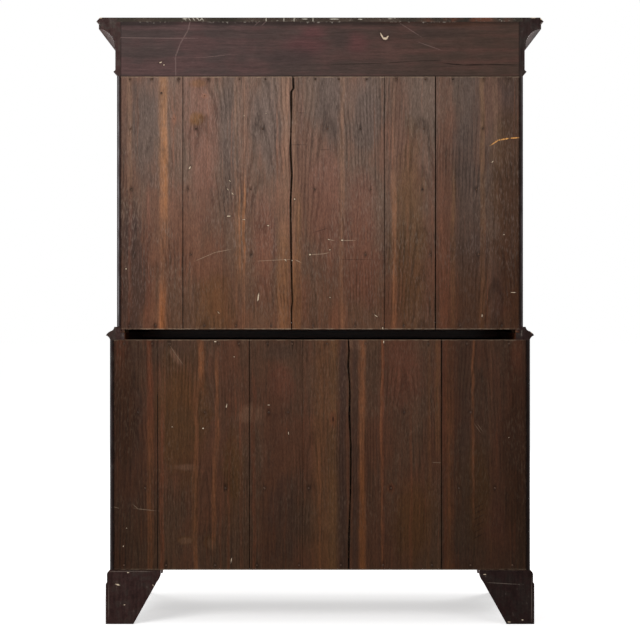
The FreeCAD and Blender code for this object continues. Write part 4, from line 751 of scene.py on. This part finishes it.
def mahogany(name, along, figure=0.3, tone=1, polish=0.6, mitre=None, drawers=None, inner=None, scars=None,
             dust=0.55):
    """Polished mahogany with its grain along an axis.

    figure is how strongly it shimmers, mitre the x and y of a moulding's outer corner, drawers the lowest and
    highest point of each row, inner the sides' inner faces, and scars a list of marks.
    """
    material, shader, place = new_finish(name)
    shader.inputs["Coat Roughness"].default_value = 0.2
    x, y, z = split_axes(place)
    across, depth, run = {"x": (z, y, x), "y": (z, x, y), "z": (y, x, z)}[along]
    if mitre:
        turned = level((y - mitre[1]) - (mitre[0] - abs(x)), -0.0004, 0.0004)
        run, depth = between(turned, x, y), between(turned, y, x)
    seed, heart = 0, 0.1 if along == "z" else 1
    if drawers:
        middle_z, height, seed = read_table(z / TABLE_HEIGHT, [
            (max(0, low / TABLE_HEIGHT), ((low + high) / 4, (high - low) * 2, number / 10))
            for number, (low, high) in enumerate(drawers)])
        seed = seed * 50 + level(x, -0.001, 0.001, 0, 4) * level(z, *SHORT_DRAWERS)
        heart = middle_z * 2 + (seed.math("SINE") * 0.06)
    warp = noise(point(run * 0.6, depth, across), 0.2, 2, seed + 1)
    bent = across + (warp - 0.5) * 0.045
    side = depth + sway(place, 0.22, 0.03, seed=seed + 6)
    broad = drawn(bent, side, run, 0.03, 0.55, seed + 2)
    fine = drawn(bent, side, run, 0.0046, 0.13, seed + 4, 3)
    pores = drawn(bent, side, run, 0.0016, 0.012, seed + 7, 1)
    cloud = noise(place, 0.22, 3, seed + 3)
    out = bent - heart
    tilt = (run + (seed * 1.7 if drawers else 0)).math("SINE") * 0.1
    ring = ((out * out + tilt * tilt + 0.0006) ** 0.5 + (cloud - 0.5) * 0.02) * (2 * math.pi / MAHOGANY_RING)
    rings = level(ring.math("SINE") + (fine - 0.5) * 1.6, -0.6, 1)
    slant = run + bent * 0.35 + (warp - 0.5) * 0.1
    mottle = noise(point(slant / 0.013, side / 0.1, bent / 0.06), 1, 2, seed + 9)
    shimmer = level(noise(place, 0.16, 2, seed + 12), 0.42, 0.62, 0.15, 1)

    base = mix(level(broad, 0.3, 0.7), paint(72, 35, 22), paint(116, 63, 38))
    base = mix(level(cloud, 0.45, 0.75, 0, 0.55), base, paint(104, 66, 42))
    light = spread(fine, 0.6) * (1 + (mottle - 0.5) * shimmer * (figure * 3.5)) * spread(cloud, 0.4) * tone
    light = light * (1 - rings * 0.16) * level(pores, 0.32, 0.44, 0.72, 1)
    coat = level(cloud, 0.3, 0.7, polish, polish * 0.7)
    colour = shade(base, light)
    if drawers:
        bead = level(y - by_case(z, *DRAWER_FACES), 0.0013, 0.0006)
        rim = height / 4 - abs(z - middle_z * 2)
        rim = rim.math("MINIMUM", by_case(z, *DRAWER_ENDS) - abs(x))
        # Darker towards each front's edges, inside the bead; and grime round the handles.
        edge_darkening_and_grime = level(rim + (fine - 0.5) * 0.006, 0.0025, 0.012, 0.5, 0) * (1 - bead)
        edge_darkening_and_grime = edge_darkening_and_grime.math("MAXIMUM", level(nearest_mark(place, GRIME) + (cloud - 0.5), 1.5, 0.5, 0, 0.3))
        colour = shade(colour, 1 - edge_darkening_and_grime)
        rubbed = bead * level(noise(place, 0.03, 3, 22), 0.42, 0.66, 0.05, 0.5)
        colour = mix(rubbed, colour, paint(150, 92, 54))
    if scars:
        mark = nearest_mark(place if along == "x" else point(y, 0, z), scars) + sway(place, FRAY, 2, 3)
        colour = mix(level(mark, 1.5, 0.7, 0, 0.38), colour, paint(158, 112, 78))
        coat *= level(mark, 0.7, 1.5, 0.4, 1)
    if inner:
        hidden = level(by_case(z, *inner) - abs(x), -0.0006, -0.0002)
        colour = mix(hidden, colour, shade(paint(112, 78, 54), spread(fine, 0.8)))
        coat *= 1 - hidden
    colour, up, down = dust_on(colour, place, dust)
    colour = mix(down * 0.6, colour, paint(76, 70, 70))
    raw, dull = raw_back(place, x, y, z, fine, END_CHIPS, END_SCRATCHES)
    colour = mix(raw, colour, dull)
    feed(shader, Base_Color=colour,
         Roughness=level(cloud, 0.3, 0.7, 0.42, 0.55) + raw * 0.3 + up * 0.35 + down * 0.1,
         Coat_Weight=coat * (1 - raw) * (1 - down) * (1 - up * min(dust * 1.8, 1)))
    rough_surface(shader, fine * 0.5 + pores * 0.5, 0.00012)
    return material


print("growth rings", MAHOGANY_RING, "m apart, dark round", len(GRIME), "bails")

# %% Mahogany on the sides, drawers and mouldings
KNOCK_WIDTH = 0.0012


def old_knocks(name, count, low, high, length):
    """Short scratches at chance places between two corners."""
    chance = random.Random(name)
    marks = []
    for _ in range(count):
        a, z = chance.uniform(low[0], high[0]), chance.uniform(low[1], high[1])
        turn, reach = math.radians(chance.choice((8, 25, 155, 90))), chance.uniform(0.3, 1) * length
        marks += scratches((KNOCK_WIDTH, (a, z), (a + math.cos(turn) * reach, z + math.sin(turn) * reach)))
    return marks


SIDES = ["upper_side_left", "upper_side_right", "lower_side_left", "lower_side_right"]
DRAWERS = sorted(name.removesuffix("_front") for name in nodes if name.endswith("_front"))
DRAWER_HEIGHTS = sorted({(round(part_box(name + "_front")[0].z, 4), round(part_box(name + "_front")[1].z, 4))
                         for name in DRAWERS})

dress(mahogany("mahogany_sides", "z", 0.12, 1, inner=INNER_FACES,
               scars=old_knocks("sides", 14, (-0.22, 0.18), (0.26, 1.55), 0.05)), *SIDES)
dress(mahogany("mahogany_drawer_fronts", "x", 0.22, 1.12, drawers=DRAWER_HEIGHTS,
               scars=old_knocks("fronts", 16, (-0.52, 0.2), (0.52, 1.52), 0.04)),
      *[name + "_front" for name in DRAWERS])
dress(mahogany("mahogany_rails", "x", 0.1, 0.9, 0.4, dust=0.25), "upper_drawer_rails", "lower_drawer_rails")
MITRED = [("waist_moulding", 0.1, 0.92, 0.35), ("base_moulding", 0.1, 0.9, 0.35),
          ("cornice_moulding", 0.08, 0.9, 0.16), ("frieze", 0.14, 1, 0.45), ("bracket_feet", 0.1, 0.82, 0.35)]
for name, figure, tone, polish in MITRED:
    low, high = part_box(name)
    dress(mahogany("mahogany_" + name, "x", figure, tone, polish, mitre=(high.x, low.y), dust=0.6), name)
print("mahogany on", len(SIDES + DRAWERS + MITRED) + 2, "nodes,", len(DRAWER_HEIGHTS), "drawer heights")

# %% [markdown]
# ## Top
# Nobody sees the top of a tall chest, so it is plain pine, darkened with stain, and the dust lies thick on
# it. Its back edge is knocked and greasy from being carried, with a row of pale nicks.

# %% The top board's finish
TOP_NICKS = ([(0.386 - number * 0.0125, 1.729, 0.006, 0.0011, -55) for number in range(5)]
             + [(x, 1.7275, 0.006, 0.0012, 90) for x in (0.154, 0.103, 0.074, 0.02)]
             + [(0.3857, 1.73, 0.007, 0.0014), (0.34, 1.728, 0.004, 0.0014, 40),
                (-0.04, 1.729, 0.012, 0.0016), (-0.115, 1.7285, 0.006, 0.0014),
                (0.043, 1.729, 0.008, 0.0012), (-0.2, 1.73, 0.005, 0.001)])
TOP_SEAMS = (0.115, -0.078)  # the joints between the boards, as y
SEAM_EDGE = (0.002, 0.0008)  # from the wood to the dark of a seam
RED_SPOT = -0.42  # where the stain shows red along the edge, as x


def top_finish():
    material, shader, place = new_finish("dusty_top_pine", 0.8)
    x, y, z = split_axes(place)
    bent = y + sway(place, 0.3, 0.022)
    middle, fine, fibre, speckle = old_grain(bent, z, x, 60)
    cloud = noise(place, 0.05, 3, 8)
    colour = mix(level(middle, 0.35, 0.65), paint(62, 46, 36), paint(90, 68, 52))
    colour = shade(colour, spread(fine, 0.7) * spread(fibre, 0.6) * spread(cloud, 0.5))
    seams = [level(abs(y - seam), *SEAM_EDGE) for seam in TOP_SEAMS]
    colour = shade(colour, 1 - seams[0].math("MAXIMUM", seams[1]) * 0.75)
    colour = dust_on(colour, place, 0.55)[0]
    chipped = noise(point(x / 0.007, y, z / 0.004), 1, 3, 3)
    often = noise(point(x / 0.12, y, 0), 1, 1, 5)
    dark = mix(level(often, 0.4, 0.6), paint(52, 46, 40), paint(66, 56, 49))
    red = level(abs(x - RED_SPOT), 0.05, 0.16, 0.75, 0) * level(cloud, 0.35, 0.6)
    dark = mix(red, dark, paint(98, 56, 40))
    dark = shade(dark, spread(cloud, 1.2) * spread(speckle, 0.8))
    dark = mix(level(chipped, 0.6, 0.7) * level(often, 0.38, 0.62, 0, 0.55), dark, paint(160, 152, 140))
    nicks = nearest_mark(place, TOP_NICKS) + (noise(place, 0.004, 3) - 0.5)
    dark = mix(level(nicks, 1.4, 0.6, 0, 0.8), dark, paint(178, 170, 156))
    feed(shader, Base_Color=mix(at_back(y), colour, dark))
    rough_surface(shader, fine * 0.6 + fibre * 0.4, 0.0005)
    return material


dress(top_finish(), "upper_top_board")
print(len(TOP_NICKS), "nicks along the top's back edge")

# %% [markdown]
# ## Pine and oak inside
# The shelves between the drawers are pine, and the drawers are lined with oak. Neither was ever polished.
# Oak gets short flecks across its grain, where the saw cut along the rays of the tree. The boards at the
# gap between the cases are painted black towards the back: painted shade, where the gap lies in shadow.

# %% Inner woods
GAP_SHADE = (0.3, 0.08)  # how far before the back the painted shade starts, and where it is darkest
DRAWER_BACK = 0.012  # thickness of a drawer's back, whose grain runs level


def plain_wood(name, along, dark, pale, fleck=0, soot=1, cross=None):
    """Bare wood; behind the plane y = cross its grain runs along X. A low soot value paints its back dark, as
    painted shade.
    """
    material, shader, place = new_finish(name, 0.75, 0.06 * soot)
    x, y, z = split_axes(place)
    across, depth, run = {"x": (y, z, x), "y": (x, z, y)}[along]
    if cross:
        turned = level(y, cross - 0.0004, cross + 0.0004)
        across, depth, run = between(turned, x, z), between(turned, z, y), between(turned, y, x)
    bent = across + sway(place, 0.3, 0.03)
    broad = drawn(bent, depth, run, 0.018, 0.6, 2)
    fine = drawn(bent, depth, run, 0.0022, 0.1, 5, 3)
    cloud = noise(place, 0.14, 4, 5)
    colour = mix(level(broad, 0.3, 0.7), dark, pale)
    light = level(fine, 0.3, 0.7, 0.8, 1.12) * level(cloud, 0.3, 0.7, 0.8, 1.12)
    if fleck:
        rays = level(drawn(run, depth, bent, 0.003, 0.014, 8), 0.6, 0.7)
        light = light + rays * fleck
    stained = level(noise(place, 0.045, 3, 15), 0.6, 0.72, 0, 0.3)
    # Painted shade: a low soot value darkens the wood towards the back.
    light = light * (1 - stained) * level(y, back_y - GAP_SHADE[0], back_y - GAP_SHADE[1], 1, soot)
    feed(shader, Base_Color=dust_on(shade(colour, light), place, 0.22 * soot)[0])
    rough_surface(shader, fine, 0.0003)
    return material


dress(plain_wood("shelf_pine", "y", paint(98, 68, 44), paint(142, 104, 68)),
      "upper_runners_and_dust_boards", "lower_runners_and_dust_boards")
CASE_TONES = (paint(62, 46, 36), paint(92, 68, 52))
dress(plain_wood("case_pine", "x", *CASE_TONES), "lower_bottom_board")
# Painted shade: these boards go black towards the back, where the gap between the cases lies in shadow.
dress(plain_wood("gap_shaded_case_pine", "x", *CASE_TONES, soot=0.12), "upper_bottom_board", "lower_top_board")
back_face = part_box("second_drawer_box")[1].y - DRAWER_BACK
dress(plain_wood("oak_linings", "y", paint(122, 88, 56), paint(160, 121, 80), 0.12, cross=back_face),
      *[name + "_box" for name in DRAWERS])
print("pine on 5 nodes, oak on", len(DRAWERS), "drawers, whose backs start at y =", round(back_face, 4))

# %% [markdown]
# ## Brass
# The posts, roses, escutcheons and bails were cast, lacquered and handled for years. Brass stays bright
# where hands touch it and goes brown elsewhere, so noise drives both its colour and its roughness.

# %% The brass finish
def brass_finish():
    material, shader, place = new_finish("old_brass", gloss=0.5)
    cloud = noise(place, 0.012, 4)
    speck = noise(place, 0.002, 2, 3)
    tarnish = level(cloud + (speck - 0.5) * 0.3, 0.42, 0.7)
    feed(shader, Base_Color=mix(tarnish, paint(206, 166, 96), paint(128, 90, 46)),
         Roughness=level(tarnish, 0, 1, 0.26, 0.48))
    shader.inputs["Metallic"].default_value = 1
    rough_surface(shader, speck, 0.00008)
    return material


BRASSES = [name for name in nodes if name.endswith("_brasses") or "_bail_" in name]
dress(brass_finish(), *BRASSES)
print("brass on", len(BRASSES), "nodes")

# %% [markdown]
# ## Nails
# Hand-made iron nails hold the backs: small, many-sided heads, rusted dark, hammered nearly flush. A
# picture of a dot would vanish from the side, so each head is a low dome made from a circle that is
# extruded twice, then turned and stretched a little so that no two are alike.

# %% Nail heads
NAIL_SIDES = 8
NAIL_RADIUS = (0.0028, 0.0038)  # smallest and largest
HEAD_STEPS = ((0.0005, 0.9), (0.0004, 0.55))  # rise and taper of each step of a head


def iron_finish():
    material, shader, place = new_finish("rusty_iron", 0.7)
    rust = noise(place, 0.003, 3)
    feed(shader, Base_Color=mix(level(rust, 0.4, 0.65), paint(50, 39, 34), paint(86, 64, 50)))
    return material


def nail_heads(name, places, face_y, body):
    mesh = bmesh.new()
    chance = random.Random(name)
    for x, z in places:
        radius = chance.uniform(*NAIL_RADIUS)
        head = bmesh.ops.create_circle(mesh, cap_ends=True, segments=NAIL_SIDES, radius=radius)["verts"]
        top = list({face for vert in head for face in vert.link_faces})
        for rise, taper in HEAD_STEPS:
            raised = bmesh.ops.extrude_face_region(mesh, geom=top)["geom"]
            bmesh.ops.delete(mesh, geom=top, context="FACES_ONLY")
            top = [part for part in raised if isinstance(part, bmesh.types.BMFace)]
            rim = [part for part in raised if isinstance(part, bmesh.types.BMVert)]
            bmesh.ops.translate(mesh, verts=rim, vec=(0, 0, rise))
            bmesh.ops.scale(mesh, verts=rim, vec=(taper, taper, 1))
            head += rim
        turn = Matrix.Rotation(math.radians(-90), 4, "X") @ Matrix.Rotation(chance.uniform(0, 6), 4, "Z")
        squash = Matrix.Diagonal((1, chance.uniform(0.75, 1), 1, 1))
        bmesh.ops.transform(mesh, matrix=Matrix.Translation((x, face_y, z)) @ turn @ squash, verts=head)
    bmesh.ops.recalc_face_normals(mesh, faces=mesh.faces)
    data = bpy.data.meshes.new(name)
    mesh.to_mesh(data)
    mesh.free()
    data.materials.append(iron)
    piece = new_object(data)
    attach(piece, body)
    print(name, len(places), "heads,", len(data.polygons), "faces")


iron = iron_finish()
board_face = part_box("upper_back_boards")[1].y
nail_heads("upper_back_nails", UPPER_NAILS, board_face, "upper_case")
nail_heads("lower_back_nails", LOWER_NAILS, board_face, "lower_case")

# %% [markdown]
# ## Floor, light and sky
# The chest stands on a plain pale floor in soft light. Four wide lamps hang round it, two behind and two in
# front, so it looks right from any side, and a pale sky fills the shadows. Only what the camera sees
# straight on, or in a reflection, is pure white, so that white doesn't flood the wood with light.

# %% Floor and sky
FLOOR_RADIUS = 60
FLOOR_GREY = 0.86
FLOOR_GLOW = 0.53  # brings the floor up to white where the camera sees it
SKY_GREY = 0.55


def grey(value):
    return (value, value, value, 1)


def straight_rays(tree):
    """1 where a ray from the camera or a clear reflection looks, and 0 for the light on the object."""
    node = tree.nodes.new("ShaderNodeLightPath")
    rays = [Wire(tree, node.outputs[name]) for name in
            ("Is Camera Ray", "Is Glossy Ray", "Is Transmission Ray")]
    return rays[0].math("MAXIMUM", rays[1]).math("MAXIMUM", rays[2])


floor_mesh = bmesh.new()
bmesh.ops.create_circle(floor_mesh, cap_ends=True, segments=64, radius=FLOOR_RADIUS)
floor_data = bpy.data.meshes.new("floor")
floor_mesh.to_mesh(floor_data)
floor_mesh.free()
floor = new_object(floor_data)
floor_finish, floor_shader, _ = new_finish("pale_floor", 0.9, 0)
floor_shader.inputs["Base Color"].default_value = grey(FLOOR_GREY)
floor_shader.inputs["Emission Strength"].default_value = 1
feed(floor_shader, Emission_Color=mix(straight_rays(floor_finish.node_tree), grey(0), grey(FLOOR_GLOW)))
floor_data.materials.append(floor_finish)

sky = bpy.data.worlds.new("sky")
sky.use_nodes = True
bpy.context.scene.world = sky
sky_tree = sky.node_tree
background = sky_tree.nodes["Background"]
background.inputs["Strength"].default_value = 1
feed(background, Color=mix(straight_rays(sky_tree), grey(SKY_GREY), grey(1)))
print("floor", 2 * FLOOR_RADIUS, "m across, sky", SKY_GREY)

# %% Lamps
LAMP_SIZE = (2.4, 2)
LAMP_TARGET = Vector((0, 0, 0.9))
# Each lamp: its name, place and power in watts.
LAMPS = [("lamp_back_left", (2.8, 4.2, 2.9), 135), ("lamp_back_right", (-2.8, 4.6, 2.3), 40),
         ("lamp_front_left", (-2.6, -4.6, 2.9), 110), ("lamp_front_right", (2.8, -4.6, 2.3), 60)]
for name, place, power in LAMPS:
    lamp_data = bpy.data.lights.new(name, "AREA")
    lamp_data.shape = "RECTANGLE"
    lamp_data.size, lamp_data.size_y = LAMP_SIZE
    lamp_data.energy = power
    lamp = new_object(lamp_data)
    lamp.location = place
    lamp.rotation_euler = (LAMP_TARGET - Vector(place)).to_track_quat("-Z", "Y").to_euler()
bpy.context.scene.view_settings.view_transform = "Standard"
print(len(LAMPS), "lamps,", sum(power for _, _, power in LAMPS), "W")
